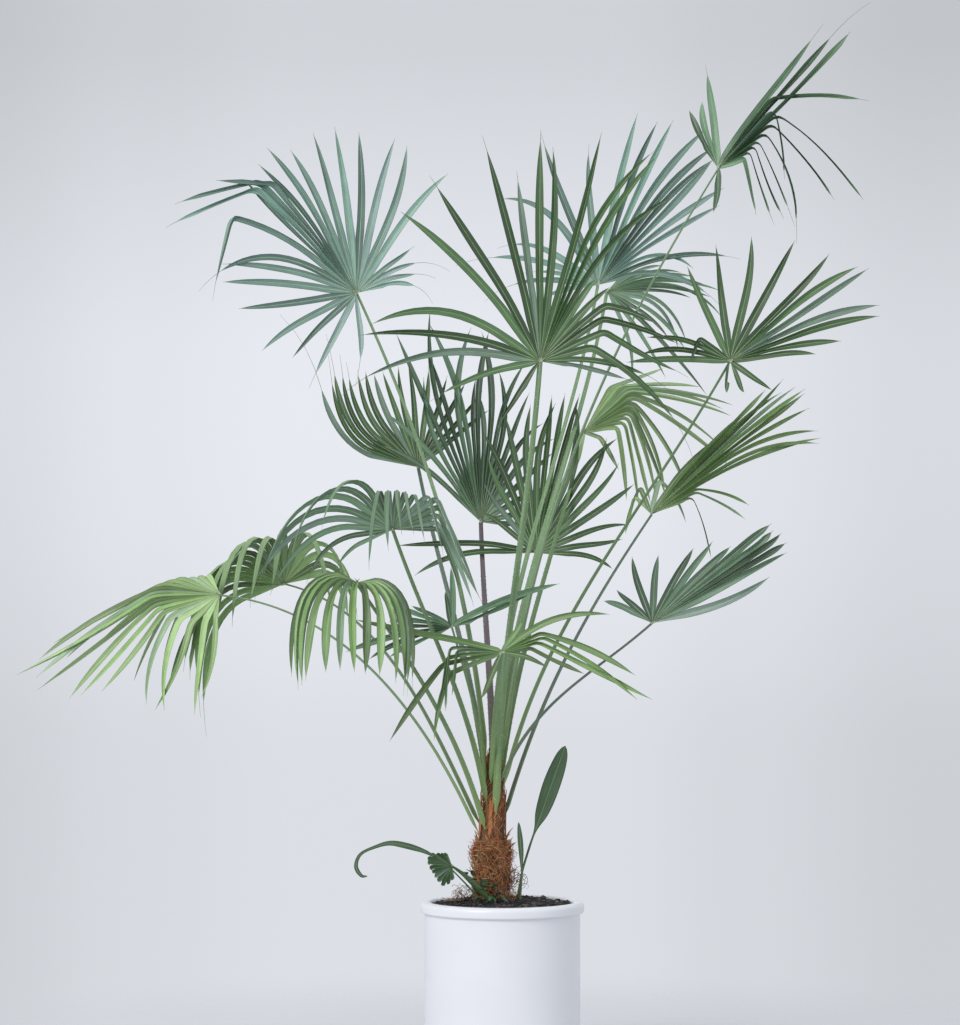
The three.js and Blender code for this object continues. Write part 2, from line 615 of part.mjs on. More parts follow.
/** The rib's line from the hub: straight to the split, then bending downwards. */
function ribLine(frond, rib) {
  const { heading, lift } = rayOf(frond, rib.angle);
  const pace = rib.reach / BLADE.steps;
  const place = frond.hubPoint.clone();
  const across = lift.clone().cross(heading);
  const line = [{ place: place.clone(), across: across.clone(), lift: lift.clone() }];
  const kinkShare = rib.kink > 0 ? BLADE.kinkShare : 0;
  const kinkStart = Math.max(rib.kink - BLADE.kinkSpan / 2, rib.split);
  for (let k = 0; k < BLADE.steps; k += 1) {
    const step = [k / BLADE.steps, (k + 1) / BLADE.steps];
    const even = overlap(...step, rib.split, 1);
    const kinked = overlap(...step, kinkStart, kinkStart + BLADE.kinkSpan);
    const bend = rib.sag * THREE.MathUtils.lerp(even, kinked, kinkShare);
    heading.addScaledVector(DOWN, bend).normalize();
    across.addScaledVector(heading, -across.dot(heading)).normalize();
    place.addScaledVector(heading, pace);
    line.push({ place: place.clone(), across: across.clone(), lift: heading.clone().cross(across) });
  }
  return line;
}

/** The rib's line read at a share of its length. */
function ribAt(line, share) {
  const place = share * (line.length - 1);
  const start = Math.min(Math.floor(place), line.length - 2);
  const mix = (field) => line[start][field].clone().lerp(line[start + 1][field], place - start);
  return { place: mix('place'), across: mix('across').normalize(), lift: mix('lift').normalize() };
}

/** The two corners, upper and lower, of the fold between two neighbouring ribs. */
function foldCorners(frond, { angle, radius, rise }) {
  const { heading, lift } = rayOf(frond, angle);
  const fold = frond.hubPoint.clone().addScaledVector(heading, radius).addScaledVector(lift, rise);
  return [
    fold.clone().addScaledVector(lift, BLADE.edge / 2),
    fold.clone().addScaledVector(lift, -BLADE.edge / 2),
  ];
}

/** The two corners, upper and lower, of the rib itself. */
function keelCorners({ place, lift }, thickness) {
  return [
    place.clone().addScaledVector(lift, thickness / 2),
    place.clone().addScaledVector(lift, -thickness / 2),
  ];
}

/** Where along its free length a leaflet has its sections: one falls on its bend. */
function stationsOf(rib) {
  if (rib.kink === 0) return BLADE.stations;
  const bend = THREE.MathUtils.clamp((rib.kink - rib.split) / (1 - rib.split), ...BLADE.kinkRange);
  return [bend, (bend + 1) / 2];
}

/** One leaflet beyond the split, as sections of four corners and a tip. */
function leafletSections(frond, rib, share) {
  const line = ribLine(frond, rib);
  const spot = (free) => ribAt(line, rib.split + (1 - rib.split) * free * share);
  const sections = stationsOf(rib).map((free) => {
    const at = spot(free);
    const skin = rib.half * (1 - free ** BLADE.taper);
    const far = rib.reach * (rib.split + (1 - rib.split) * free * share);
    const [top, bottom] = keelCorners(at, BLADE.keel * (1 - BLADE.keelTaper * free));
    const facing = Math.max(at.across.dot(line[0].across), BLADE.leastFacing);
    const edgeAt = (way, gap) => {
      const room = far * Math.tan(gap / 2) * facing * BLADE.closeness;
      const wide = Math.min(skin * Math.cos(radians(BLADE.loose)), room);
      const rise = Math.sqrt(skin ** 2 - wide ** 2);
      return at.place.clone().addScaledVector(at.across, way * wide).addScaledVector(at.lift, rise);
    };
    return { right: edgeAt(-1, rib.before), left: edgeAt(1, rib.after), top, bottom };
  });
  return { root: ribAt(line, rib.split), sections, tip: spot(1).place };
}

/**
 * Adds a leaflet to a shell, from the six corners where it leaves the joined part. Its upper
 * and lower skins are split along the same diagonals, so that they can't cross where it bends.
 */
function addLeaflet(shell, root, { sections, tip }) {
  const [rightTop, rightLow, topRoot, lowRoot, leftTop, leftLow] = root;
  let last = null;
  for (const section of sections) {
    const right = shell.point(section.right);
    const left = shell.point(section.left);
    const top = shell.point(section.top);
    const low = shell.point(section.bottom);
    if (last === null) {
      shell.quad(rightTop, right, top, topRoot);
      shell.quad(topRoot, top, left, leftTop);
      shell.quad(left, low, lowRoot, leftLow);
      shell.quad(rightLow, lowRoot, low, right);
      shell.face(rightLow, right, rightTop);
      shell.face(leftTop, left, leftLow);
    } else {
      shell.quad(last.right, right, top, last.top);
      shell.quad(last.top, top, left, last.left);
      shell.quad(left, low, last.low, last.left);
      shell.quad(last.right, last.low, low, right);
    }
    last = { right, left, top, low };
  }
  const end = shell.point(tip);
  shell.face(last.right, end, last.top);
  shell.face(last.top, end, last.left);
  shell.face(last.left, end, last.low);
  shell.face(last.low, end, last.right);
}

/** A whole blade. shares says how much of each leaflet's free length is kept. */
function bladeShell(frond, shares) {
  const ribs = frond.ribList;
  const shell = new Shell();
  const { lift } = rayOf({ ...frond, cup: 0 }, 0);
  const hubTop = shell.point(frond.hubPoint.clone().addScaledVector(lift, BLADE.keel / 2));
  const hubLow = shell.point(frond.hubPoint.clone().addScaledVector(lift, -BLADE.keel / 2));
  const folds = frond.foldList.map((fold) => (
    foldCorners(frond, fold).map((corner) => shell.point(corner))
  ));
  ribs.forEach((rib, i) => {
    const leaflet = leafletSections(frond, rib, shares[i]);
    const [top, low] = keelCorners(leaflet.root, BLADE.keel).map((corner) => shell.point(corner));
    const [[rightTop, rightLow], [leftTop, leftLow]] = [folds[i], folds[i + 1]];
    shell.face(hubTop, rightTop, top);
    shell.face(hubTop, top, leftTop);
    shell.face(hubLow, low, rightLow);
    shell.face(hubLow, leftLow, low);
    addLeaflet(shell, [rightTop, rightLow, top, low, leftTop, leftLow], leaflet);
  });
  const [firstTop, firstLow] = folds[0];
  const [lastTop, lastLow] = folds[folds.length - 1];
  shell.quad(hubLow, firstLow, firstTop, hubTop);
  shell.quad(hubTop, lastTop, lastLow, hubLow);
  return shell.facingOut();
}

/** One leaflet on its own, closed at its root, for testing what it comes near. */
function leafletShell(frond, i, share) {
  const shell = new Shell();
  const leaflet = leafletSections(frond, frond.ribList[i], share);
  const [rightTop, rightLow] = foldCorners(frond, frond.foldList[i]);
  const [leftTop, leftLow] = foldCorners(frond, frond.foldList[i + 1]);
  const [top, low] = keelCorners(leaflet.root, BLADE.keel);
  const root = [rightTop, rightLow, top, low, leftTop, leftLow].map((corner) => shell.point(corner));
  addLeaflet(shell, root, leaflet);
  shell.face(root[0], root[2], root[1]);
  shell.face(root[1], root[2], root[3]);
  shell.face(root[2], root[4], root[3]);
  shell.face(root[3], root[4], root[5]);
  return shell.facingOut();
}

/** How much of each leaflet's length stands clear of what is already there. */
function clearShares(frond, obstacles) {
  const kept = [];
  return frond.ribList.map((rib, i) => {
    for (const share of BLADE.keptShares) {
      const leaflet = placed(leafletShell(frond, i, share));
      const crosses = kept.some((other) => (
        leaflet.room.intersectsBox(other.room)
        && leaflet.solid.intersect(other.solid).volume() > LEAF_OVERLAP
      ));
      if (!crosses && !comesWithin(leaflet, obstacles, LEAF_GAP)) {
        kept.push(leaflet);
        return share;
      }
    }
    return BLADE.stub;
  });
}

/** The stalk's curve: it leaves the stem steeply and arrives at the hub's slope. */
function petioleShell(frond, base, tip) {
  const out = new THREE.Vector3(tip.x - base.x, tip.y - base.y, 0).normalize();
  const slope = (degrees) => out.clone().multiplyScalar(Math.cos(radians(degrees)))
    .addScaledVector(UP, Math.sin(radians(degrees)));
  const pull = base.distanceTo(tip) * PETIOLE.pull;
  const curve = new THREE.CubicBezierCurve3(
    base,
    base.clone().addScaledVector(slope(frond.leave), pull),
    tip.clone().addScaledVector(slope(frond.arrive), -pull),
    tip,
  );
  const across = out.clone().cross(UP).normalize();
  const rings = Array.from({ length: PETIOLE.steps + 1 }, (_, i) => {
    const share = i / PETIOLE.steps;
    const centre = curve.getPointAt(share);
    const lift = across.clone().cross(curve.getTangentAt(share)).normalize();
    const half = THREE.MathUtils.lerp(frond.width[0], frond.width[1], share ** PETIOLE.taper) / 2;
    return Array.from({ length: PETIOLE.sides }, (__, k) => {
      const angle = (2 * Math.PI * k) / PETIOLE.sides;
      return centre.clone()
        .addScaledVector(across, half * Math.cos(angle))
        .addScaledVector(lift, half * PETIOLE.flatness * Math.sin(angle));
    });
  });
  return loft(rings);
}

/** Where a stalk's foot lies for a given distance out from the stem's surface. */
function petioleFoot(frond, offset) {
  const turn = radians(frond.turn);
  const out = new THREE.Vector3(Math.cos(turn), Math.sin(turn), 0);
  return stemCentre(frond.height).addScaledVector(out, offset);
}

/** The middle of the last ring of a stalk. */
function topOf(shell) {
  const ring = shell.points.slice(-PETIOLE.sides);
  return ring.reduce((sum, p) => sum.add(p), new THREE.Vector3()).divideScalar(ring.length);
}

/** Stalk seated on the stem at its foot and under the leaf's hub at its top. */
function seatedPetiole(frond, stem) {
  const { stem: footAway, hub: topAway } = SEAT_LIMIT;
  const under = (drop) => frond.hubPoint.clone().addScaledVector(frond.frame.face, -drop);
  const hung = seat((drop) => (
    petioleShell(frond, petioleFoot(frond, footAway), under(drop))
  ), frond.core, topAway);
  const top = topOf(hung);
  return seat((offset) => petioleShell(frond, petioleFoot(frond, offset), top), stem, footAway);
}

// Shoots

/** A strap leaf: a flattened diamond section along a smooth line. */
function strapShell({ line, widths, thickness }, start) {
  const curve = new THREE.CatmullRomCurve3(line.map((p) => new THREE.Vector3(...p).add(start)));
  const steps = line.length * 2;
  return loft(Array.from({ length: steps + 1 }, (_, i) => {
    const share = i / steps;
    const centre = curve.getPointAt(share);
    const heading = curve.getTangentAt(share);
    const across = heading.clone().cross(FRONT).normalize();
    const lift = across.clone().cross(heading).normalize();
    const half = along(widths, share) / 2;
    const deep = Math.min(half, thickness / 2);
    return [[1, 0], [0, 1], [-1, 0], [0, -1]].map(([wide, high]) => (
      centre.clone().addScaledVector(across, wide * half).addScaledVector(lift, high * deep)
    ));
  }));
}

// Assembly

const palm = new THREE.Group();

function paint(colour, roughness) {
  return new THREE.MeshStandardMaterial({ color: colour, roughness, metalness: 0 });
}

function add(name, geometry, material) {
  const mesh = new THREE.Mesh(geometry, material);
  mesh.name = name;
  palm.add(mesh);
}

add('pot', potGeometry(), paint(COLOURS.glaze, 0.35));

const soil = placed(soilShell());
add('soil', soil.shell.geometry(), paint(COLOURS.soil, 0.95));

const stem = placed(stemShell());
add('trunk', stem.shell.geometry(), paint(COLOURS.fibre, 0.9));

for (const frond of [...FRONDS, SIDE_SHOOT.fold]) {
  frond.hubPoint = new THREE.Vector3(...frond.hub);
  frond.frame = leafFrame(frond);
  frond.ribList = ribsOf(frond);
  frond.foldList = foldsOf(frond, frond.ribList);
  frond.core = placed(bladeShell(frond, frond.ribList.map(() => BLADE.coreShare)));
}

const obstacles = [stem];
for (const frond of FRONDS) {
  const petiole = placed(seatedPetiole(frond, stem));
  obstacles.push(petiole);
  add(`petiole_${frond.name}`, petiole.shell.geometry(), paint(COLOURS.petiole, 0.55));
}
for (const [number, frond] of FRONDS.entries()) {
  const cores = FRONDS.slice(number + 1).map((other) => other.core);
  const shares = clearShares(frond, [...obstacles, ...cores]);
  const blade = placed(bladeShell(frond, shares));
  obstacles.push(blade);
  add(`blade_${frond.name}`, blade.shell.geometry(), paint(COLOURS[frond.tint], 0.55));
}

const onSoil = new THREE.Vector3(0, 0, SOIL.top);
for (const strap of STRAPS) {
  const shell = seat((rise) => (
    strapShell(strap, onSoil.clone().addScaledVector(UP, rise))
  ), soil, SEAT_LIMIT.soil);
  add(strap.name, shell.geometry(), paint(COLOURS[strap.tint], 0.5));
}

const { fold: fan, ribbon } = SIDE_SHOOT;
const fanBlade = placed(bladeShell(fan, fan.ribList.map(() => 1)));
const fanFoot = (rise) => new THREE.Vector3(...SIDE_SHOOT.foot, SOIL.top + rise);
const fanTop = (drop) => fan.hubPoint.clone().addScaledVector(fan.frame.axis, -drop);
const hungStalk = seat((drop) => (
  petioleShell(fan, fanFoot(SEAT_LIMIT.soil), fanTop(drop))
), fanBlade, SEAT_LIMIT.hub);
const stalkTop = topOf(hungStalk);
const fanStalk = seat((rise) => petioleShell(fan, fanFoot(rise), stalkTop), soil, SEAT_LIMIT.soil);
const hungRibbon = seat((shift) => (
  strapShell(ribbon, new THREE.Vector3(-shift, 0, 0))
), fanBlade, SEAT_LIMIT.ribbon);
add(fan.name, fanBlade.shell.geometry(), paint(COLOURS[fan.tint], 0.5));
add('shoot_left_stalk', fanStalk.geometry(), paint(COLOURS[fan.tint], 0.5));
add(ribbon.name, hungRibbon.geometry(), paint(COLOURS[ribbon.tint], 0.5));

export default palm;
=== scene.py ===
"""Looks of a young fan palm in a round white pot.

Blender works in metres. Sizes in this script are in millimetres, as in the part's source,
and MM turns them into metres where a mesh is made. +Z is up and the front faces -Y.
"""

import math
import random
from types import SimpleNamespace

import bmesh
import bpy
import numpy as np
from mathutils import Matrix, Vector, noise


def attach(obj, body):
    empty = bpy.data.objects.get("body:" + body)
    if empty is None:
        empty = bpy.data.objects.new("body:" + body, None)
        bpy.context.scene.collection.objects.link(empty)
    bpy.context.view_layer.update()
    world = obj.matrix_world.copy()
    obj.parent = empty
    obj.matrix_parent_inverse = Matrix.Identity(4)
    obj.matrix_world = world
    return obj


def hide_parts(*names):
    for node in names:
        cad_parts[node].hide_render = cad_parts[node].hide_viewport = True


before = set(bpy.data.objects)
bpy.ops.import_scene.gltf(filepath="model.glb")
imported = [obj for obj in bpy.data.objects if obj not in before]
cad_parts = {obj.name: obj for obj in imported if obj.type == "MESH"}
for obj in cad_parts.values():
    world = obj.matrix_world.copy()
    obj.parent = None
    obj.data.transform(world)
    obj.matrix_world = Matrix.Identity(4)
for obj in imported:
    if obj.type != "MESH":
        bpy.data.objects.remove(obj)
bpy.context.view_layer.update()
MM = 0.001

# Sizes of the pot, the compost and the stem, as in the source
POT = SimpleNamespace(
    height=296, body=135, foot=130, rim=142, rim_depth=20, mouth=123.5, floor=14, sides=160,
)
SOIL_TOP = POT.height + 3
SOIL_EDGE_DROP = 9
SEAT_GAP = 0.35
STEM = SimpleNamespace(
    x=-18, lean_x=3, foot=SOIL_TOP + SEAT_GAP, flare=39, body=34, collar_top=396, shaft=22,
    shaft_top=500, tip_radius=8, tip=566,
)
MAT_DEPTH = 8
# The bare stem under its mat, as a radius for each height
STEM_HEIGHTS, STEM_RADII = zip(
    (STEM.foot, STEM.flare - MAT_DEPTH),
    (STEM.foot + 12, STEM.body - MAT_DEPTH),
    (STEM.collar_top - 42, STEM.body - MAT_DEPTH),
    (STEM.collar_top - 14, STEM.body - MAT_DEPTH + 1),
    (STEM.collar_top - 3, STEM.body - MAT_DEPTH - 1),
    (STEM.collar_top + 6, STEM.shaft - 1),
    (STEM.collar_top + 52, STEM.shaft - 4),
    (STEM.shaft_top, STEM.shaft - 5),
    (STEM.shaft_top + 33, STEM.shaft - 9),
    (STEM.tip, STEM.tip_radius - 2),
)

# The fronds, by the source's rule: hub is the point the ribs spread from, and lean, tilt and
# roll turn the leaf. fan gives the ribs' angles, reach their lengths, sag their bend, most of
# it at the distance kink where that isn't 0, joined how far they stay joined, and hair the
# thread beyond the tip as a share of the length; these are read evenly from the first rib to
# the last. turn and height say where the stalk leaves the stem, leave and arrive its slopes.
# Here only, slim narrows a frond's leaflets, wild makes them stray more, and kept gives the
# share of its length that a leaflet keeps where it is shortened. PLAIN has the values of the
# keys that a row leaves out.
PLAIN = dict(roll=0, kink=(0,), hair=(0.05,), longest_split=0.8, slim=1, wild=1, kept={})
FRONDS = [
    dict(name="upper_right", look="mid", stalk="pale", slim=1.2, wild=2, kept={12: 0.72},
         hub=(385, 40, 1588), lean=40, tilt=5, roll=-15, cup=6, ribs=16, seed=4, blade=9, turn=2,
         height=540, leave=84, arrive=58, width=(19, 7),
         joined=(25, 45, 60, 75, 100, 120, 110, 70, 45, 40),
         fan=(-126, -24, -19, -14, -10, -7, -4, -1, 1, 4, 7, 10, 14, 55, 68, 78),
         reach=(83, 152, 170, 194, 211, 255, 273, 335, 335, 252, 308, 308, 379, 167, 123, 113),
         sag=(0, 200, 200, 180, 160, 150, 110, 95, -12, 260, 0, 60, 20, -5, -10, -10),
         kink=(0, 54, 64, 76, 86, 104, 122, 140, 0, 141, 0, 154, 0, 0, 0, 0),
         hair=(0.05, 0.1, 0.15, 0.2, 0.3, 0.05, 0.05, 0.05, 0.3, 0.05, 0.2, 0.05, 0.05)),
    dict(name="back_right_top", look="mid", stalk="pale", slim=0.75, wild=2, hub=(204, 380, 1417),
         lean=-5, tilt=-10, roll=-25, cup=4, ribs=16, seed=3, blade=7.5, turn=62, height=532, leave=80,
         arrive=70, width=(18, 7), joined=(45, 60, 70, 60, 45),
         fan=(-70, -55, -43, -33, -21, -9, -1, 6, 11, 15, 19, 23, 28, 34, 41, 49),
         reach=(200, 215, 265, 150, 190, 185, 200, 165, 200, 231, 231, 215, 190, 160, 130, 110),
         sag=(10, 30, 35, 20, 60, 110, 110, 15, 30, 40, 45, 45, 45, 40, 30, 20)),
    dict(name="top_middle", look="blue", stalk="pale", slim=0.9, wild=1.6, hub=(178, 200, 1402),
         lean=68, tilt=-8, cup=8, ribs=20, seed=31, blade=9.5, turn=79, height=552, leave=86,
         arrive=76, width=(14, 7), joined=(45, 70, 85, 90, 90, 85, 75, 60, 45),
         fan=(-51, -43, -36, -31, -26, -21, -16, -12, -7, -1, 5, 10, 28, 44, 54, 78, 89, 99, 108, 122),
         reach=(215, 245, 190, 272, 296, 319, 314, 328, 348, 332, 327, 317, 250, 265, 252, 177, 200,
             110, 160, 100),
         sag=(60, 40, 60, 25, 15, 10, 5, 5, 0, 0, 0, 0, 20, 15, 50, 30, 40, 20, 20, 10),
         hair=(0.4, 0.05, 0.05, 0.05, 0.05, 0.05, 0.05, 0.05, 0.2, 0.05, 0.5, 0.3, 0.4)),
    dict(name="upper_left", look="blue", stalk="pale", slim=0.88, wild=1.6, hub=(-249, -130, 1339),
         lean=134, tilt=8, cup=8, ribs=26, seed=1, blade=9.5, turn=205, height=545, leave=84,
         arrive=62, width=(17, 7), joined=(45, 60, 90, 98, 98, 90, 70, 60, 50),
         fan=(-118, -111, -100, -93, -77, -67, -56, -46, -38, -28, -21, -15, -10, -7, -4, -1, 3, 6, 18,
             26, 40, 55, 72, 89, 109, 141),
         reach=(105, 108, 112, 115, 243, 262, 267, 268, 273, 275, 262, 277, 276, 330, 400, 390, 277,
             360, 250, 232, 220, 195, 192, 160, 157, 112),
         sag=(20, 20, 25, 10, 5, 0, 0, 0, 0, 0, 0, 0, 0, 72, 75, 80, 0, 200, 45, 40, 5, 0, 0, 0, 0, 0),
         kink=(0, 0, 0, 0, 0, 0, 0, 0, 0, 0, 0, 0, 0, 238, 256, 250, 0, 262, 0, 0, 0, 0, 0, 0, 0, 0),
         hair=(0.5, 0.5, 0.05, 0.05, 0.05, 0.05, 0.05, 0.05, 0.1, 0.05, 0.2, 0.05, 0.05, 0.05, 0.4)),
    dict(name="front_top", look="deep", stalk="pale", slim=0.86, wild=1.4, hub=(61, -260, 1206),
         lean=92, tilt=6, cup=8, ribs=23, seed=2, blade=10, turn=285, height=446, leave=86, arrive=76,
         width=(15, 9), joined=(40, 70, 100, 105, 105, 100, 75, 50),
         fan=(-97, -90, -76, -66, -57, -50, -42, -35, -29, -25, -22, -18, -8, -2, 5, 11, 26, 33, 55, 68,
             79, 98, 145),
         reach=(150, 176, 280, 247, 247, 222, 160, 161, 346, 403, 396, 367, 339, 351, 306, 358, 343,
             332, 293, 303, 288, 170, 120),
         sag=(20, 25, 60, 70, 60, 60, 10, 10, 45, 40, 20, 0, 0, 0, 10, 10, 40, 45, 50, 40, 30, 30, 10),
         kink=(0, 0, 92, 120, 128, 144, 0, 0, 0, 0, 0, 0, 0, 0, 184, 0, 0, 0, 0, 0, 0, 0, 0),
         hair=(0.6, 0.4, 0.05, 0.1, 0.05, 0.05, 0.05, 0.05, 0.1, 0.15, 0.05, 0.05, 0.25, 0.3)),
    dict(name="right_middle", look="deep", stalk="mid", slim=0.88, wild=1.4, hub=(381, -200, 1214),
         lean=50, tilt=8, cup=6, ribs=18, seed=5, blade=9, turn=330, height=490, leave=76, arrive=58,
         width=(14, 7), joined=(30, 45, 70, 75, 75, 70, 60, 45, 35),
         fan=(-117, -88, -42, -36, -29, -23, -17, -9, -4, 11, 27, 46, 66, 94, 103, 114, 126, 205),
         reach=(59, 81, 141, 182, 253, 265, 262, 257, 240, 221, 205, 190, 169, 103, 151, 155, 175, 55),
         sag=(0, 0, 0, 10, 0, 5, -10, 0, 0, 0, 0, 0, 0, 150, 30, 20, 15, 0),
         kink=(0, 0, 0, 0, 0, 0, 0, 0, 0, 0, 0, 0, 0, 64, 0, 0, 0, 0)),
    dict(name="back_right_middle", look="lime", stalk="mid", slim=0.82, wild=2.5, hub=(157, 330, 1143),
         lean=34, tilt=-10, roll=-40, cup=2, ribs=16, seed=6, blade=9, turn=60, height=478, leave=76,
         arrive=62, width=(13, 7), joined=(30, 45, 80, 105, 112, 104),
         fan=(-132, -74, -38, -30, -23, -17, -12, -8, -4, 0, 4, 8, 12, 16, 21, 27),
         reach=(75, 110, 190, 225, 245, 262, 262, 290, 300, 328, 320, 335, 345, 330, 310, 280),
         sag=(10, 60, 200, 200, 190, 170, 150, 130, 110, 90, 66, 62, 58, 55, 52, 50),
         kink=(30, 42, 68, 80, 88, 94, 98, 104, 109, 114, 117, 120, 122, 119, 112, 102)),
    dict(name="back_left_middle", look="deep", stalk="dark", slim=0.72, hub=(-155, 340, 1077),
         lean=115, tilt=-10, cup=12, ribs=16, seed=10, blade=9.5, turn=112, height=462, leave=76,
         arrive=62, width=(13, 7), joined=(60, 75, 85, 90, 90),
         fan=(-80, -62, -45, -28, -12, 2, 15, 27, 37, 45, 53),
         reach=(170, 185, 180, 190, 185, 190, 200, 215, 235, 250, 262),
         sag=(-5, -5, -5, -10, -20, -40, -70, -95, -115, -120, -110),
         hair=(0.05, 0.1, 0.05, 0.05, 0.2, 0.6)),
    dict(name="right_cupped", look="fresh", stalk="dark", slim=0.8, wild=2.5, hub=(271, 150, 977),
         lean=38, tilt=5, roll=-25, cup=10, ribs=18, seed=7, blade=9, turn=24, height=438, leave=72,
         arrive=52, width=(13, 7), joined=(60, 90, 130, 150, 150, 110, 60, 40),
         fan=(-22, -19, -16, -13, -11, -8, -6, -4, -2, 0, 2, 4, 6, 8, 14, 40, 74, 94),
         reach=(190, 195, 195, 330, 345, 354, 350, 346, 342, 340, 335, 325, 290, 250, 170, 150, 125,
             110), sag=(130, 60, 40, 15, 10, 10, 8, 5, 5, 5, 5, 5, 5, 10, 40, 200, 220, 220),
         kink=(86, 96, 98, 0, 0, 0, 0, 0, 0, 0, 0, 0, 0, 0, 0, 52, 36, 32)),
    dict(name="back_left_tall", look="dusk", stalk="purple", slim=0.8, wild=3, hub=(-37, 300, 971),
         lean=92, tilt=-4, cup=8, ribs=21, seed=9, blade=10, turn=80, height=455, leave=78, arrive=68,
         width=(15, 8), joined=(50, 80, 110, 115, 110, 90, 60),
         fan=(-97, -80, -62, -47, -36, -28, -22, -17, -12, -8, -4, 0, 3, 7, 11, 15, 19, 23, 28, 34, 41),
         reach=(120, 150, 170, 190, 200, 220, 248, 287, 300, 359, 240, 365, 261, 372, 373, 330, 411,
             380, 300, 260, 230),
         sag=(20, 15, 10, 5, 5, 5, 5, 0, 0, 0, 0, 0, 0, 0, 5, 5, 0, 5, 10, 15, 20)),
    dict(name="front_left_arched", look="mid", stalk="mid", slim=0.86, wild=1.5, hub=(-183, -240, 928),
         lean=100, tilt=26, cup=8, ribs=19, seed=11, blade=7.5, turn=238, height=466, leave=74,
         arrive=60, width=(13, 7), joined=(58, 68, 74, 74, 70, 58),
         fan=(-95, -86, -77, -68, -59, -50, -38, -26, -14, -3, 7, 17, 27, 38, 49, 60, 71, 84, 100),
         reach=(190, 210, 225, 230, 215, 180, 150, 146, 152, 172, 205, 250, 275, 290, 290, 270, 235,
             170, 110),
         sag=(110, 120, 130, 145, 160, 190, 200, 200, 190, 190, 190, 160, 145, 132, 115, 100, 85, 60,
             60), kink=(78, 80, 86, 94, 100, 92, 80, 74, 70, 74, 84, 0, 0, 0, 0, 0, 0, 0, 0),
         hair=(0.1, 0.2, 0.1, 0.1, 0.15, 0.2)),
    dict(name="back_middle", look="deep", stalk="dark", slim=0.8, wild=3, hub=(66, 285, 913), lean=60,
         tilt=-4, cup=8, ribs=20, seed=20, blade=9.5, turn=96, height=500, leave=80, arrive=70,
         width=(13, 7), joined=(60, 90, 110, 115, 110, 90, 60),
         fan=(-63, -52, -38, -25, -16, -8, 0, 8, 15, 20, 24, 30, 37, 44, 52, 60, 70, 82, 110, 118),
         reach=(148, 160, 180, 216, 230, 250, 270, 290, 308, 300, 293, 285, 270, 260, 240, 200, 160,
             130, 250, 226), sag=(20, 15, 10, 8, 5, 5, 0, 0, 0, 0, 0, 0, 0, 0, 0, 5, 10, 15, 35, 25)),
    dict(name="left_inner", look="fresh", stalk="mid", wild=3, hub=(-393, 160, 851), lean=115, tilt=30,
         cup=4, ribs=18, seed=13, blade=10, turn=158, height=425, leave=62, arrive=12, width=(14, 7),
         joined=(60, 72, 80, 80, 75, 65), fan=(-95, -59, -23, 0, 19, 37, 53, 77),
         reach=(170, 230, 300, 250, 320, 260, 300, 300, 310, 280),
         sag=(190, 230, 250, 250, 245, 230, 210, 190, 170, 150), hair=(0.15, 0.05, 0.2, 0.1, 0.2)),
    dict(name="front_left_low", look="fresh", stalk="mid", slim=0.86, wild=2.5, hub=(-239, -300, 839),
         lean=262, tilt=74, cup=2, ribs=15, seed=12, blade=12, turn=236, height=420, leave=66,
         arrive=42, width=(13, 7), joined=(34, 36, 34), fan=(-112, 112),
         reach=(215, 230, 215, 195, 185, 185, 200, 205, 215, 210),
         sag=(280, 270, 250, 220, 250, 270, 280), hair=(0.1, 0.05, 0.15)),
    dict(name="far_left", look="lime", stalk="pale", slim=0.85, wild=2.5,
         kept={9: 0.94, 10: 0.9, 11: 0.86, 12: 0.8, 13: 0.8, 14: 0.85, 15: 0.9}, hub=(-489, -40, 827),
         lean=185, tilt=5, roll=40, cup=0, ribs=18, seed=14, blade=9, turn=184, height=412, leave=66,
         arrive=5, width=(15, 7), joined=(40, 65, 75, 80, 75, 60),
         fan=(-70, -55, -42, -33, -25, -18, -12, -7, -2, 3, 8, 13, 19, 27, 37, 50, 64, 80),
         reach=(180, 220, 260, 290, 310, 317, 330, 365, 380, 375, 370, 350, 335, 325, 290, 270, 225,
             200), sag=(160, 130, 110, 78, 60, 48, 36, 38, 40, 44, 48, 52, 60, 70, 84, 95, 110, 90),
         kink=(54, 60, 68, 80, 92, 104, 112, 117, 118, 118, 116, 112, 106, 100, 92, 84, 72, 60),
         hair=(0.05, 0.05, 0.07, 0.05, 0.05)),
    dict(name="right_low", look="dusk", stalk="dark", slim=0.92, wild=2, hub=(240, -330, 772), lean=75,
         tilt=10, cup=10, ribs=13, seed=8, blade=9, turn=308, height=500, leave=58, arrive=30,
         width=(9, 6), joined=(60, 170, 190, 190, 190, 185, 110, 70, 60, 50, 45, 40, 38),
         fan=(-58, -45, -42, -39, -36, -33, -28, -19, -11, 13, 34, 59, 74),
         reach=(201, 240, 251, 250, 250, 251, 186, 162, 136, 115, 117, 79, 86),
         sag=(-8, 0, 0, 0, 0, 0, 0, 0, 0, 0, 0, 10, 10)),
    dict(name="small_left", look="mid", stalk="mid", hub=(-87, -60, 770), lean=95, tilt=5, cup=4,
         ribs=11, seed=15, blade=8.5, turn=225, height=505, leave=84, arrive=70, width=(9, 5),
         joined=(30, 40, 35, 30, 30), fan=(-73, -66, -7, 6, 55, 63, 73, 82, 91, 98, 106),
         reach=(150, 196, 103, 60, 75, 92, 105, 117, 186, 150, 120),
         sag=(5, 8, 0, 0, 10, 10, 10, 10, 15, 15, 20)),
    dict(name="small_front", look="fresh", stalk="pale", hub=(-2, -230, 726), lean=90, tilt=22, cup=0,
         ribs=14, seed=16, blade=8, turn=260, height=500, leave=70, arrive=30, width=(10, 6),
         joined=(25, 40, 45, 40, 25, 45, 45, 40, 30),
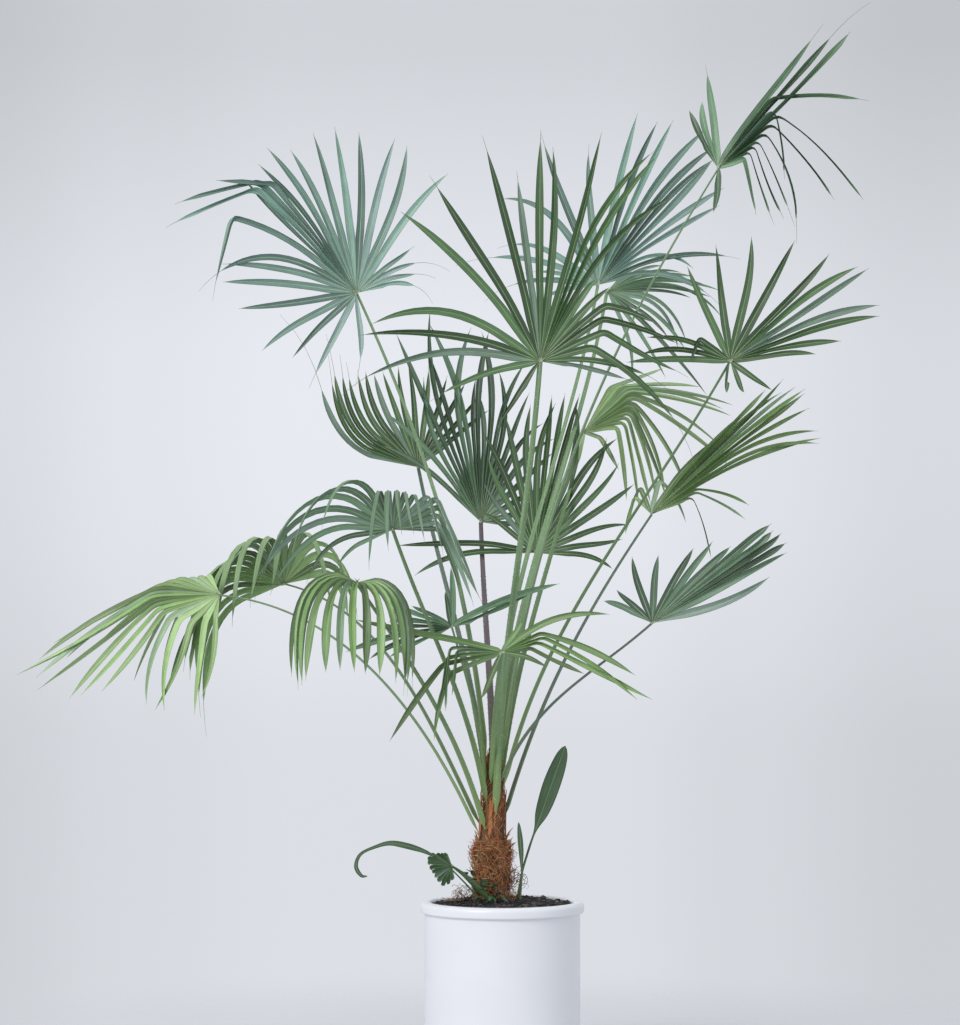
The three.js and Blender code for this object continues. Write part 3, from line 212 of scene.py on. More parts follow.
         fan=(-102, -78, -72, -67, -60, -50, -30, 74, 79, 84, 90, 100, 110, 160),
         reach=(76, 150, 262, 265, 250, 190, 60, 252, 190, 150, 200, 257, 200, 90),
         sag=(20, 50, 55, 60, 55, 40, 5, 10, 230, 250, 230, 60, 110, 20),
         kink=(0, 50, 66, 76, 76, 0, 0, 0, 92, 80, 98, 103, 100, 0)),
]

# The shoots at the foot of the stem: straps run through their points, on the compost
STRAPS = [
    dict(name="shoot_right_tall", thickness=3, widths=(6, 4, 4, 4, 5, 22, 29, 30, 25, 13),
         line=((27, -12, 0), (30, -13, 24), (35, -14, 52), (42, -15, 76), (51, -16, 104),
               (62, -17, 134), (74, -19, 167), (86, -21, 202), (98, -23, 235), (109, -25, 267))),
    dict(name="shoot_right_small", thickness=2, widths=(4, 3, 3, 8, 9, 4),
         line=((30, -34, 0), (33, -35, 36), (33, -35, 67), (32, -36, 91), (30, -37, 115),
               (28, -38, 136))),
]
SIDE_FOOT = np.array((-14, -54, SOIL_TOP - 3.0))
SIDE_FOLD = dict(
    name="shoot_left_blade", look="shade", stalk="shade", longest_split=0.95,
    hub=(-86, -66, 361), lean=188, tilt=30, roll=25, cup=0, ribs=13, seed=40, blade=7,
    leave=48, arrive=30, width=(15, 22, 25, 22, 15, 9),
    joined=(22, 28, 44, 42, 38, 40, 41, 24), fan=(-74, 66),
    reach=(24, 30, 47, 44, 40, 43, 44, 26), sag=(60, 80, 50, 30, 20, 20, 20, 10), hair=(0,),
)
SIDE_RIBBON = dict(
    name="shoot_left_ribbon", thickness=2.5, widths=(4, 7, 10, 10, 8, 6, 5, 6, 7, 4),
    line=((-117, -76, 379), (-137, -84, 389), (-166, -90, 398), (-192, -92, 402),
          (-216, -94, 396), (-241, -97, 384), (-249, -100, 364), (-240, -102, 348),
          (-229, -102, 347)),
)

FRONT = np.array((0.0, -1.0, 0.0))
UP = np.array((0.0, 0.0, 1.0))


def spread_of(seed, index):
    """A repeatable number from -1 to 1 for a seed and an index, as in the source."""
    wave = math.sin(seed * 12.9898 + index * 78.233) * 43758.5453
    return 2 * (wave - math.floor(wave)) - 1


def along(values, share):
    """Reads a list of values as an even curve over 0 to 1."""
    return float(np.interp(share * (len(values) - 1), range(len(values)), values))


def smooth(x):
    """Eases from 0 to 1 as x goes from 0 to 1."""
    x = min(max(x, 0.0), 1.0)
    return x * x * (3 - 2 * x)


def lerp(a, b, share):
    """What lies a share of the way from a to b."""
    return a + (b - a) * share


def unit(v):
    """The direction of v."""
    return v / np.linalg.norm(v)


def turned(v, axis, angle):
    """v turned about a unit axis."""
    return (
        v * math.cos(angle)
        + np.cross(axis, v) * math.sin(angle)
        + axis * axis.dot(v) * (1 - math.cos(angle))
    )


def outward(turn, rise=0.0):
    """The way out from an upright axis at a turn about it, with a rise."""
    return np.array((math.cos(turn), math.sin(turn), rise))


def full_turn(sides):
    """Even angles round a full turn."""
    return 2 * math.pi * np.arange(sides) / sides


def circle(radius, sides, height=0.0):
    """Corners of a level ring about the pot's axis."""
    return [(radius * math.cos(t), radius * math.sin(t), height) for t in full_turn(sides)]


def far_along(line):
    """How far along a line each of its points lies."""
    return np.concatenate(([0], np.cumsum(np.linalg.norm(np.diff(line, axis=0), axis=1))))


def headings(line):
    """The unit direction of a line at each of its points."""
    return np.array([unit(v) for v in np.gradient(line, axis=0)])


def evenly(points, count):
    """A line's points read again at even distances along it."""
    points = np.asarray(points, float)
    length = far_along(points)
    places = np.linspace(0, length[-1], count)
    return np.stack([np.interp(places, length, points[:, k]) for k in range(3)], axis=1)


def through(points, count, fine=12):
    """A smooth line through points, worked out in fine steps and read at even distances."""
    p = np.asarray(points, float)
    p = np.vstack([2 * p[0] - p[1], p, 2 * p[-1] - p[-2]])
    t = np.linspace(0, 1, fine, endpoint=False)[:, None]
    spans = []
    for a, b, c, d in zip(p, p[1:], p[2:], p[3:]):
        spans.append(0.5 * (2 * b + (c - a) * t + (2 * a - 5 * b + 4 * c - d) * t**2
                            + (3 * b - a - 3 * c + d) * t**3))
    return evenly(np.vstack([*spans, p[-2:-1]]), count)


def bowed(start, reach, bow, count):
    """A line that leaves its start along reach and bends aside by bow at its end."""
    return [start + reach * u + bow * u**2 for u in np.linspace(0, 1, count)]


OCTAHEDRON = ((0, 0, 1), (1, 0, 0), (0, 1, 0), (-1, 0, 0), (0, -1, 0), (0, 0, -1))
OCTAHEDRON_FACES = ((0, 1, 2), (0, 2, 3), (0, 3, 4), (0, 4, 1),
                    (5, 2, 1), (5, 3, 2), (5, 4, 3), (5, 1, 4))
LUMP_ROUGHNESS = (0.75, 1.25)
# A strand whose first stretch rises more than this is laid out from the front, not from above
STEEP = 0.9


class Shell:
    """Corners and faces of one piece in millimetres, gathered solid by solid.

    grain holds, for each corner, how far along and across its leaf or strand it lies,
    for the materials' veins and streaks. kinds holds the number of each face's material.
    """

    def __init__(self):
        self.points = []
        self.grain = []
        self.faces = []
        self.kinds = []
        self.count = 0

    def corners(self, points, grain=None):
        """Adds corners and gives the number of the first."""
        points = np.asarray(points, float).reshape(-1, 3)
        start = self.count
        self.count += len(points)
        self.points.append(points)
        if grain is None:
            grain = np.zeros((len(points), 2))
        self.grain.append(np.asarray(grain, float).reshape(-1, 2))
        return start

    def solid(self, points, faces, kind):
        """Adds a small solid, with each face given by its points' numbers."""
        start = self.corners(points)
        for face in faces:
            self.faces.append([start + k for k in face])
            self.kinds.append(kind)

    def loft(self, rings, kinds=0, far=0.0, across=0.0):
        """Joins rings of corners and closes both ends. kinds gives each side its material,
        far each ring's part of the grain and across each corner's."""
        rings = np.asarray(rings, float)
        rows, sides = rings.shape[:2]
        grain = np.zeros((rows, sides, 2))
        grain[..., 0] = np.reshape(far, (-1, 1))
        grain[..., 1] = across
        index = self.corners(rings, grain) + np.arange(rows * sides).reshape(rows, sides)
        low, high = index[:-1], index[1:]
        quads = np.stack([low, np.roll(low, -1, 1), np.roll(high, -1, 1), high], axis=-1)
        kinds = np.broadcast_to(np.asarray(kinds), (rows - 1, sides))
        self.faces += [*quads.reshape(-1, 4).tolist(), index[0][::-1].tolist(), index[-1].tolist()]
        self.kinds += [*kinds.reshape(-1).tolist(), int(kinds[0][0]), int(kinds[-1][0])]

    def strand(self, line, radii, kind=0, sides=3, flat=1.0, shift=0.0):
        """A round or flattened thread along a line."""
        line = np.asarray(line, float)
        heading = headings(line)
        radii = np.broadcast_to(radii, len(line))
        side = np.cross(heading[0], UP if abs(heading[0][2]) < STEEP else FRONT)
        turns = full_turn(sides)
        rings = []
        for place, ahead, radius in zip(line, heading, radii):
            side = unit(side - ahead * side.dot(ahead))
            over = np.cross(side, ahead)
            rings.append(place + radius * (np.outer(np.cos(turns), side)
                                           + flat * np.outer(np.sin(turns), over)))
        self.loft(rings, kind, far_along(line) + shift, turns)

    def lump(self, centre, radii, kind, rng):
        """A rough clod: a squeezed octahedron with its corners pushed in or out."""
        spots = [np.array(p, float) * rng.uniform(*LUMP_ROUGHNESS) for p in OCTAHEDRON]
        spin = rng.uniform(0, math.pi)
        points = [centre + turned(p, UP, spin) * np.array(radii) for p in spots]
        self.solid(points, OCTAHEDRON_FACES, kind)

    def mesh(self, name, materials, sharp):
        """The shell as a mesh, smooth but for edges of more than sharp degrees."""
        mesh = bpy.data.meshes.new(name)
        points = np.concatenate(self.points) * MM
        mesh.from_pydata(points.tolist(), [], self.faces)
        for material in materials:
            mesh.materials.append(material)
        mesh.polygons.foreach_set("material_index", self.kinds)
        grain = mesh.attributes.new("grain", "FLOAT2", "POINT")
        grain.data.foreach_set("vector", np.concatenate(self.grain).ravel())
        edit = bmesh.new()
        edit.from_mesh(mesh)
        bmesh.ops.recalc_face_normals(edit, faces=edit.faces)
        edit.to_mesh(mesh)
        edit.free()
        mesh.shade_smooth()
        mesh.set_sharp_from_angle(angle=math.radians(sharp))
        return mesh


def add_piece(name, shell, materials, replaced=(), sharp=38):
    """Makes a piece of the plant: it rides with the plant and stands for CAD nodes."""
    piece = bpy.data.objects.new(name, shell.mesh(name, materials, sharp))
    bpy.context.scene.collection.objects.link(piece)
    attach(piece, "root")
    if replaced:
        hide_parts(*replaced)


# Materials


class Shading:
    """The nodes of a material or of the world, with short ways to add and join them."""

    def __init__(self, owner):
        owner.use_nodes = True
        self.nodes = owner.node_tree.nodes
        self.links = owner.node_tree.links

    def set(self, socket, value):
        """Joins a socket to another, or gives it a number, a vector or a colour."""
        if isinstance(value, bpy.types.NodeSocket):
            self.links.new(value, socket)
        elif socket.type == "RGBA":
            socket.default_value = (*value, 1)
        else:
            socket.default_value = value

    def add(self, kind, inputs=None, **settings):
        """Adds a node with its settings, and sets the inputs that are given."""
        node = self.nodes.new(f"ShaderNode{kind}")
        for key, setting in settings.items():
            setattr(node, key, setting)
        for key, value in (inputs or {}).items():
            self.set(node.inputs[key], value)
        return node

    def part(self, vector, axis):
        """A vector's X, Y or Z."""
        return self.add("SeparateXYZ", {0: vector}).outputs[axis]

    def product(self, first, second):
        """Two vectors multiplied part by part."""
        node = self.add("VectorMath", {0: first, 1: second}, operation="MULTIPLY")
        return node.outputs["Vector"]

    def ramp(self, value, stops, easing="LINEAR"):
        """Colours, or greys, set against a value."""
        node = self.add("ValToRGB", {"Fac": value})
        node.color_ramp.interpolation = easing
        elements = node.color_ramp.elements
        while len(elements) < len(stops):
            elements.new(0.5)
        for element, (position, colour) in zip(elements, stops):
            element.position = position
            element.color = (*colour, 1) if isinstance(colour, tuple) else (colour,) * 3 + (1,)
        return node.outputs["Color"]


class Finish(Shading):
    """A material being made from nodes round its Principled shader."""

    def __init__(self, name, roughness, specular=0.5):
        self.material = bpy.data.materials.new(name)
        super().__init__(self.material)
        self.shader = self.nodes["Principled BSDF"]
        self.feed("Roughness", roughness)
        self.feed("Specular IOR Level", specular)
        self.place = self.add("TexCoord").outputs["Object"]

    def feed(self, name, value):
        """Sets one of the shader's inputs."""
        self.set(self.shader.inputs[name], value)

    def grain(self, stretch):
        """Place on the leaf or strand, stretched along it and across it."""
        read = self.add("Attribute", attribute_type="GEOMETRY", attribute_name="grain")
        return self.product(read.outputs["Vector"], (*stretch, 1))

    def noise(self, scale, detail=3.0, place=None, roughness=0.5):
        """Soft noise, whose scale is its number of lumps in a metre or a stretched length."""
        inputs = {"Vector": place or self.place, "Scale": scale, "Detail": detail,
                  "Roughness": roughness}
        return self.add("TexNoise", inputs).outputs["Fac"]

    def streaks(self, stretch, detail=2):
        """Noise drawn out along the leaf or strand."""
        return self.noise(1, detail, self.grain(stretch))

    def cells(self, scale):
        """How far a place is from the middle of its cell."""
        return self.add("TexVoronoi", {"Vector": self.place, "Scale": scale}).outputs["Distance"]

    def mix(self, share, first, second, kind="MIX"):
        """Two colours mixed by a share."""
        node = self.add("Mix", data_type="RGBA", blend_type=kind)
        for k, value in ((0, share), (6, first), (7, second)):
            self.set(node.inputs[k], value)
        return node.outputs[2]

    def times(self, first, second):
        """Two colours multiplied."""
        return self.mix(1.0, first, second, "MULTIPLY")

    def bump(self, value, strength, depth):
        """Adds a relief, with its depth in millimetres, to what is there."""
        inputs = {"Height": value, "Strength": strength, "Distance": depth * MM}
        node = self.add("Bump", inputs)
        normal = self.shader.inputs["Normal"]
        if normal.links:
            self.set(node.inputs["Normal"], normal.links[0].from_socket)
        self.set(normal, node.outputs["Normal"])
        return self


def linear(red, green, blue):
    """A colour given as 11 to 255, as light."""
    return tuple(((c / 255 + 0.055) / 1.055) ** 2.4 for c in (red, green, blue))


def scaled(colour, factor):
    """A colour made brighter or darker."""
    return tuple(min(c * factor, 1.0) for c in colour)


def blended(colour, other, share):
    """A colour mixed with a share of another."""
    return tuple(lerp(c, o, share) for c, o in zip(colour, other))


# How far apart two leaflets lie in their blade's grain
STRIP_GAP = 20.0
# How finely noise is stretched along and across a leaf, stalk or strand, per millimetre
LEAF_STREAKS = (0.018, 9.0)
LEAF_VEINS = (0.004, 30.0)
STALK_STREAKS = (0.012, 2.6)
STALK_GROOVES = (0.01, 6.0)
FIBRE_STREAKS = (0.09, 1.4)
# A stalk is yellower over this many millimetres from its foot
STALK_TINT_REACH = 260
STALK_TINT = linear(132, 158, 88)
SCURF = linear(196, 206, 190)


def leaf_finish(name, colour, roughness):
    """Leaf skin: streaks along the veins, faint mottling, dark margins and a fine relief."""
    finish = Finish(name, roughness)
    tone = finish.ramp(finish.streaks(LEAF_STREAKS, 4), [(0.3, scaled(colour, 0.7)),
                                                         (0.7, scaled(colour, 1.3))])
    mottle = finish.noise(26)
    worn = finish.ramp(mottle, [(0.35, 0.86), (0.65, 1.0)])
    finish.feed("Roughness", finish.ramp(mottle, [(0.3, roughness - 0.07), (0.7, roughness + 0.08)]))
    inputs = {0: finish.part(finish.grain((1, 1)), "Y"), 1: STRIP_GAP / 2}
    margin = finish.add("Math", inputs, operation="PINGPONG").outputs[0]
    edge = finish.ramp(margin, [(0.78, 1.0), (0.96, 0.5)])
    finish.feed("Base Color", finish.times(finish.times(tone, worn), edge))
    return finish.bump(finish.streaks(LEAF_VEINS), strength=0.5, depth=0.25).material


def plain_finish(name, colour, roughness):
    """A skin of one colour that varies a little, with a fine relief."""
    finish = Finish(name, roughness, specular=0.4)
    stops = [(0.3, scaled(colour, 0.8)), (0.7, scaled(colour, 1.2))]
    finish.feed("Base Color", finish.ramp(finish.noise(60, 4), stops))
    return finish.bump(finish.noise(300), strength=0.5, depth=0.2).material


def stalk_finish(name, colour, scurf, tint):
    """Leaf stalk: long streaks, yellower at its foot, with pale scurfy specks where given."""
    finish = Finish(name, roughness=0.42)
    stops = [(0.3, scaled(colour, 0.72)), (0.5, colour), (0.72, scaled(colour, 1.3))]
    tone = finish.ramp(finish.streaks(STALK_STREAKS, 4), stops)
    far = finish.part(finish.grain((1 / STALK_TINT_REACH, 1)), "X")
    foot = finish.ramp(far, [(0.0, tint), (0.35, 0.5 * tint), (1.0, 0.0)])
    specks = finish.ramp(finish.cells(210), [(0.05 + scurf, 1.0), (0.13 + scurf, 0.0)])
    finish.feed("Base Color", finish.mix(specks, finish.mix(foot, tone, STALK_TINT), SCURF))
    finish.bump(finish.streaks(STALK_GROOVES), strength=0.4, depth=0.4)
    return finish.bump(specks, strength=0.4, depth=0.25).material


def fibre_finish(name, colour):
    """Dry fibre: streaks along each thread, in darker and paler patches."""
    finish = Finish(name, roughness=0.78, specular=0.25)
    streak = finish.streaks(FIBRE_STREAKS, 4)
    tone = finish.ramp(streak, [(0.25, scaled(colour, 0.55)), (0.55, colour),
                                (0.8, scaled(colour, 1.5))])
    patches = finish.ramp(finish.noise(34), [(0.3, 0.7), (0.7, 1.0)])
    finish.feed("Base Color", finish.times(tone, patches))
    return finish.bump(streak, strength=0.6, depth=0.5).material


def glaze_finish():
    """White glaze: nearly even, a little softer in patches, with a faint unevenness."""
    finish = Finish("glaze_white", roughness=0.38)
    whites = [(0.3, linear(224, 225, 231)), (0.7, linear(230, 231, 236))]
    finish.feed("Base Color", finish.ramp(finish.noise(5), whites))
    finish.feed("Roughness", finish.ramp(finish.noise(18, 4), [(0.3, 0.32), (0.7, 0.46)]))
    finish.feed("Coat Weight", 0.25)
    finish.feed("Coat Roughness", 0.22)
    finish.bump(finish.noise(9, 2), strength=0.25, depth=1.2)
    return finish.bump(finish.noise(240), strength=0.12, depth=0.12).material


def compost_finish(name, dark, light):
    """Damp compost: dark grit with paler grains."""
    finish = Finish(name, roughness=0.93, specular=0.2)
    grit = finish.noise(150, 5, roughness=0.65)
    stops = [(0.35, dark), (0.6, light), (0.72, scaled(light, 1.8))]
    finish.feed("Base Color", finish.ramp(grit, stops))
    finish.bump(finish.noise(420, 4), strength=0.8, depth=1.0)
    return finish.bump(grit, strength=0.7, depth=2.0).material


LOOKS = {
    "blue": linear(120, 151, 139),
    "deep": linear(76, 106, 68),
    "dusk": linear(94, 121, 97),
    "fresh": linear(124, 155, 100),
    "lime": linear(148, 178, 120),
    "mid": linear(106, 137, 108),
    "shade": linear(68, 96, 64),
}
# The upper skin's shades of a look, and what the other parts are mixed with, by what share
SHADES = (0.6, 0.92, 1.32)
SHEEN = (linear(168, 188, 190), 0.28)
UNDERSIDE = (linear(128, 148, 122), 0.35)
RIBS = (linear(176, 194, 150), 0.45)
SHADED_RIBS = (linear(176, 194, 150), 0.15)
DRY_TIPS = (linear(120, 112, 88), 0.5)
HEART_COLOUR = linear(172, 184, 158)
# The numbers of a look's finishes: TONES for the upper skin, each as often as it stands here
TONES = (0, 0, 1, 1, 1, 2, 2, 3)
UNDER, RIB, DRY, HEART = 4, 5, 6, 7
UNDERSIDES = [UNDER] * 4
# Each kind of stalk: its colour, its specks and how much of the tint its foot takes
STALKS = {
    "pale": (linear(116, 144, 104), 0.045, 0.75),
    "mid": (linear(102, 130, 88), 0.02, 0.75),
    "dark": (linear(94, 110, 96), 0.0, 0.4),
    "purple": (linear(96, 84, 90), 0.0, 0.4),
    "shade": (linear(66, 92, 58), 0.0, 0.0),
}
# What a stalk's teeth are mixed with, and by what share
TEETH = ((0.6, 0.6, 0.6), 0.35)
FIBRES = {
    "brown": linear(168, 118, 82),
    "dark": linear(98, 68, 50),
    "tan": linear(204, 162, 120),
    "red": linear(202, 130, 82),
    "root": linear(160, 134, 124),
    "core": linear(132, 90, 62),
}
BROWN, DARK, TAN, RED, ROOT, CORE = range(len(FIBRES))
MAT_KINDS = (BROWN, BROWN, DARK, TAN, TAN, RED, RED)
# The dark and the light of each compost finish, and which of them the crumbs have
COMPOSTS = {
    "dark": (linear(31, 30, 31), linear(58, 57, 60)),
    "clod": (linear(42, 40, 40), linear(80, 78, 78)),
    "chip": (linear(70, 64, 58), linear(106, 98, 90)),
}
CRUMB_KINDS = (0, 0, 0, 1, 1, 2)


def leaf_materials(look):
    """A look's finishes: shades of the upper skin, its sheen, the underside, ribs, dry tips."""
    colour = LOOKS[look]
    name = f"leaf_{look}"
    ribs = SHADED_RIBS if look == "shade" else RIBS
    return [
        *[leaf_finish(f"{name}_{k}", scaled(colour, shade), 0.46) for k, shade in enumerate(SHADES)],
        leaf_finish(f"{name}_sheen", blended(colour, *SHEEN), 0.4),
        leaf_finish(f"{name}_under", blended(colour, *UNDERSIDE), 0.6),
        plain_finish(f"{name}_rib", blended(colour, *ribs), 0.5),
        plain_finish(f"{name}_tip", blended(colour, *DRY_TIPS), 0.7),
        plain_finish(f"{name}_heart", HEART_COLOUR, 0.7),
    ]


# Fronds

# A leaflet folds by loose degrees where it has room and never by less than flat, and closes
# to closed degrees towards its tip. kink_share of its bend falls within kink_span of its
# length. closeness is the part of the room to the next leaflet it may fill, least_facing how
# much of that room is left where both hang, and narrowest the width of a very short leaflet
# against the longest. seated, close_by and shut_by are the shares of its free length by which
# it lies in its own place, is that close and is closed. keel, skin and strip are thicknesses,
# each with the share of it that is lost towards the tip, and thread is the hair's.
LEAFLET = SimpleNamespace(
    steps=54, loose=34, flat=15, closed=(24, 52), kink_share=0.75, kink_span=0.07,
    closeness=0.9, least_facing=0.3, narrowest=0.5, taper=5, seated=0.15, close_by=0.3,
    shut_by=0.8, keel=(1.7, 0.7), skin=(0.7, 0.4), strip=(0.6, 0.5), thread=0.42,
)
# A leaflet's hair: its rings, its last thickness against its first, and its bend in radians
HAIR = SimpleNamespace(rings=5, start=0.6, tip=0.45, skin=0.4, bend=1.5, shortest=0.01)
# How much leaflets stray, and what is added to a frond's seed for each way they do
STRAY = SimpleNamespace(angle=0.1, reach=0.04, sag=0.04, hair=0.5, wander=0.4, twist=24)
SEEDS = dict(angle=0, reach=0.3, sag=0.6, wander=0.9, twist=1.2, hair=1.5, closed=1.8)
# The shares of a leaflet at which it has rings: joined, free, and round a kink
JOINED = np.array((0.03, 0.14, 0.3, 0.5, 0.7, 0.88))
FREE = np.array((0.0, 0.03, 0.08, 0.15, 0.23, 0.32, 0.41, 0.5, 0.59, 0.68, 0.76, 0.83, 0.89,
                 0.94, 0.98, 1.0))
KINK_MARKS = (-0.05, -0.03, -0.01, 0.01, 0.03, 0.05)
# How far across a strip each of its nine corners lies, and its arch and rib as shares
STRIP_MARKS = np.array((1, 0.5, 0.1, -0.1, -0.5, -1, -0.5, 0, 0.5))
STRIP = SimpleNamespace(arch=0.05, rib_reach=0.4, rib_rise=0.25)
# The scales of the tuft where the ribs meet: their size for a blade of no length and for each
# millimetre of it, where they start, their widths, thickness and hook
TUFT = SimpleNamespace(
    scales=9, size=4.5, growth=0.02, out=0.6, back=1.5, widths=(1.9, 1.4, 0.2), thick=0.5, hook=0.2,
)


def stray_of(frond, what, i):
    """A repeatable number from -1 to 1 for one way in which a frond's leaflet strays."""
    return spread_of(frond.seed + SEEDS[what], i)


def leaf_frame(lean, tilt, roll):
    """The leaf's own directions: along its middle rib, out of its face, and sideways."""
    lean, tilt, roll = (math.radians(a) for a in (lean, tilt, roll))
    rise = np.array((math.cos(lean), 0, math.sin(lean)))
    axis = rise * math.cos(tilt) + FRONT * math.sin(tilt)
    face = turned(FRONT * math.cos(tilt) - rise * math.sin(tilt), axis, roll)
    return axis, face, np.cross(face, axis)


def ray_of(frond, angle):
    """The direction in the cupped leaf at an angle from its middle rib, and its upper side."""
    axis, face, side = frond.frame
    flat = axis * math.cos(angle) + side * math.sin(angle)
    cup = math.radians(frond.cup)
    return (flat * math.cos(cup) + face * math.sin(cup),
            face * math.cos(cup) - flat * math.sin(cup))


def ribs_of(frond):
    """Each rib's angle, length, bend and width, by the source's rule."""
    last = frond.ribs - 1
    angles = [math.radians(along(frond.fan, i / last)) for i in range(frond.ribs)]
    gaps = np.diff(angles)
    longest = max(frond.reach)
    ribs = []
    for i, angle in enumerate(angles):
        share = i / last
        before, after = gaps[max(i - 1, 0)], gaps[min(i, last - 1)]
        reach_stray = 1 + STRAY.reach * stray_of(frond, "reach", i)
        reach = along(frond.reach, share) * reach_stray * frond.kept.get(i, 1)
        sag = along(frond.sag, share) * (1 + frond.wild * STRAY.sag * stray_of(frond, "sag", i))
        hair = along(frond.hair, share) - PLAIN["hair"][0]
        ribs.append(SimpleNamespace(
            angle=angle + STRAY.angle * min(before, after) * stray_of(frond, "angle", i),
            plain=angle,
            before=before,
            after=after,
            reach=reach,
            sag=math.radians(sag),
            kink=along(frond.kink, share) / reach,
            split=min(along(frond.joined, share) / reach, frond.longest_split),
            half=frond.blade * frond.slim * lerp(LEAFLET.narrowest, 1, reach / longest),
            hair=max(hair * (1 + STRAY.hair * stray_of(frond, "hair", i)), HAIR.shortest),
        ))
    return ribs


def folds_of(frond):
    """Each fold between two ribs: how far it stays closed, and the line it lies on."""
    folds = []
    flattest = math.cos(math.radians(LEAFLET.flat))
    for i in range(frond.ribs + 1):
        before = frond.rib_list[max(i - 1, 0)]
        after = frond.rib_list[min(i, frond.ribs - 1)]
        joined = (before.split * before.reach + after.split * after.reach) / 2
        half = (before.half + after.half) / 2
        loose = math.atan(half * math.cos(math.radians(LEAFLET.loose)) / joined)
        gap = after.plain - before.plain
        angle = (before.plain + after.plain) / 2
        if before is after:
            gap = 2 * loose
            angle += loose if i else -loose
        slope = math.tan(gap / 2)
        radius = min(joined, half * flattest / slope)
        fold = math.acos(min(joined * slope / half, flattest))
        heading, lift = ray_of(frond, angle)
        line = heading * radius + lift * (radius * slope * math.tan(fold))
        folds.append(SimpleNamespace(radius=radius, fold=fold, line=line))
    return folds


def grown(row):
    """A frond with its directions, ribs and folds worked out."""
    frond = SimpleNamespace(**{**PLAIN, **row})
    frond.hub = np.array(frond.hub, float)
    frond.frame = leaf_frame(frond.lean, frond.tilt, frond.roll)
    frond.rib_list = ribs_of(frond)
    frond.fold_list = folds_of(frond)
    return frond


def overlap(low, high, start, end):
    """How much of the stretch from start to end lies between low and high, as a share."""
    return max(min(high, end) - max(low, start), 0.0) / (end - start)


def rib_line(frond, i):
    """The rib from hub to tip and on into its hair: places, sideways and upward directions."""
    rib = frond.rib_list[i]
    heading, lift = ray_of(frond, rib.angle)
    across = np.cross(lift, heading)
    steps = LEAFLET.steps
    kink_share = LEAFLET.kink_share if rib.kink > 0 else 0
    kink = max(rib.kink - LEAFLET.kink_span / 2, rib.split)
    wander = frond.wild * STRAY.wander * stray_of(frond, "wander", i) / steps
    twist = math.radians(STRAY.twist) * stray_of(frond, "twist", i)
    place = frond.hub.copy()
    rows = [(place, across, lift)]
    for k in range(int(steps * (1 + rib.hair)) + 1):
        low, high = k / steps, (k + 1) / steps
        even = overlap(low, high, rib.split, 1)
        kinked = overlap(low, high, kink, kink + LEAFLET.kink_span)
        bend = rib.sag * lerp(even, kinked, kink_share)
        if low >= 1:
            bend = HAIR.bend / steps
        free = max(low - rib.split, 0) / (1 - rib.split)
        heading = unit(heading - UP * bend + across * wander * smooth(free * 2))
        across = unit(across - heading * across.dot(heading))
        place = place + heading * rib.reach / steps
        side = turned(across, heading, twist * smooth(free))
        rows.append((place, side, np.cross(heading, side)))
    return [np.array(column) for column in zip(*rows)]


def read_line(line, steps):
    """A rib's line read at a number of steps from the hub."""
    return [np.array([np.interp(steps, range(len(column)), column[:, k]) for k in range(3)])
            for column in line]


def section(keel, edges, lift, depth, skin, strip):
    """Nine corners round a folded leaflet: its upper skin, then its underside."""
    tops = []
    ribs = []
    for edge in edges:
        reach = np.linalg.norm(edge - keel)
        share = min(strip / max(reach, 1e-6), STRIP.rib_reach)
        tops.append((keel + edge) / 2 + lift * (STRIP.arch * reach))
        ribs.append(keel + (edge - keel) * share + lift * STRIP.rib_rise * depth)
    return [edges[0], tops[0], *ribs, tops[1], edges[1],
            tops[1] - lift * skin, keel - lift * depth, tops[0] - lift * skin]


class Side:
    """One side of a leaflet: where its edge lies at a distance from the hub."""

    def __init__(self, frond, rib, line, way, fold, gap, closed):
        self.frond, self.rib, self.line, self.way, self.fold = frond, rib, line, way, fold
        self.slope = math.tan(gap / 2)
        self.closed = closed
        self.shift = 0.0
        self.shift = frond.hub + fold.line - self.free_edge(fold.radius)

    def free_edge(self, far):
        """The edge past the split, which starts at the fold and moves to its own place."""
        rib, fold = self.rib, self.fold
        place, side, up = read_line(self.line, far / rib.reach * LEAFLET.steps)
        free = max(far - fold.radius, 0) / (rib.reach - fold.radius)
        skin = rib.half * (1 - free**LEAFLET.taper) + LEAFLET.thread * free
        angle = lerp(fold.fold, self.closed, smooth(free / LEAFLET.shut_by))
        facing = max(side.dot(self.line[1][0]), LEAFLET.least_facing)
        close = lerp(1, LEAFLET.closeness, smooth(free / LEAFLET.close_by))
        wide = min(skin * math.cos(angle), far * self.slope * facing * close)
        rise = math.sqrt(max(skin**2 - wide**2, 0))
        blend = 1 - smooth(free / LEAFLET.seated)
        return place + side * self.way * wide + up * rise + self.shift * blend

    def edge(self, far):
        """The edge at any distance: along the fold, then free."""
        if far <= self.fold.radius:
            return self.frond.hub + self.fold.line * (far / self.fold.radius)
        return self.free_edge(far)


def thinned(thickness, free):
    """A thickness that loses a share of itself towards the tip."""
    full, loss = thickness
    return full * (1 - loss * free)


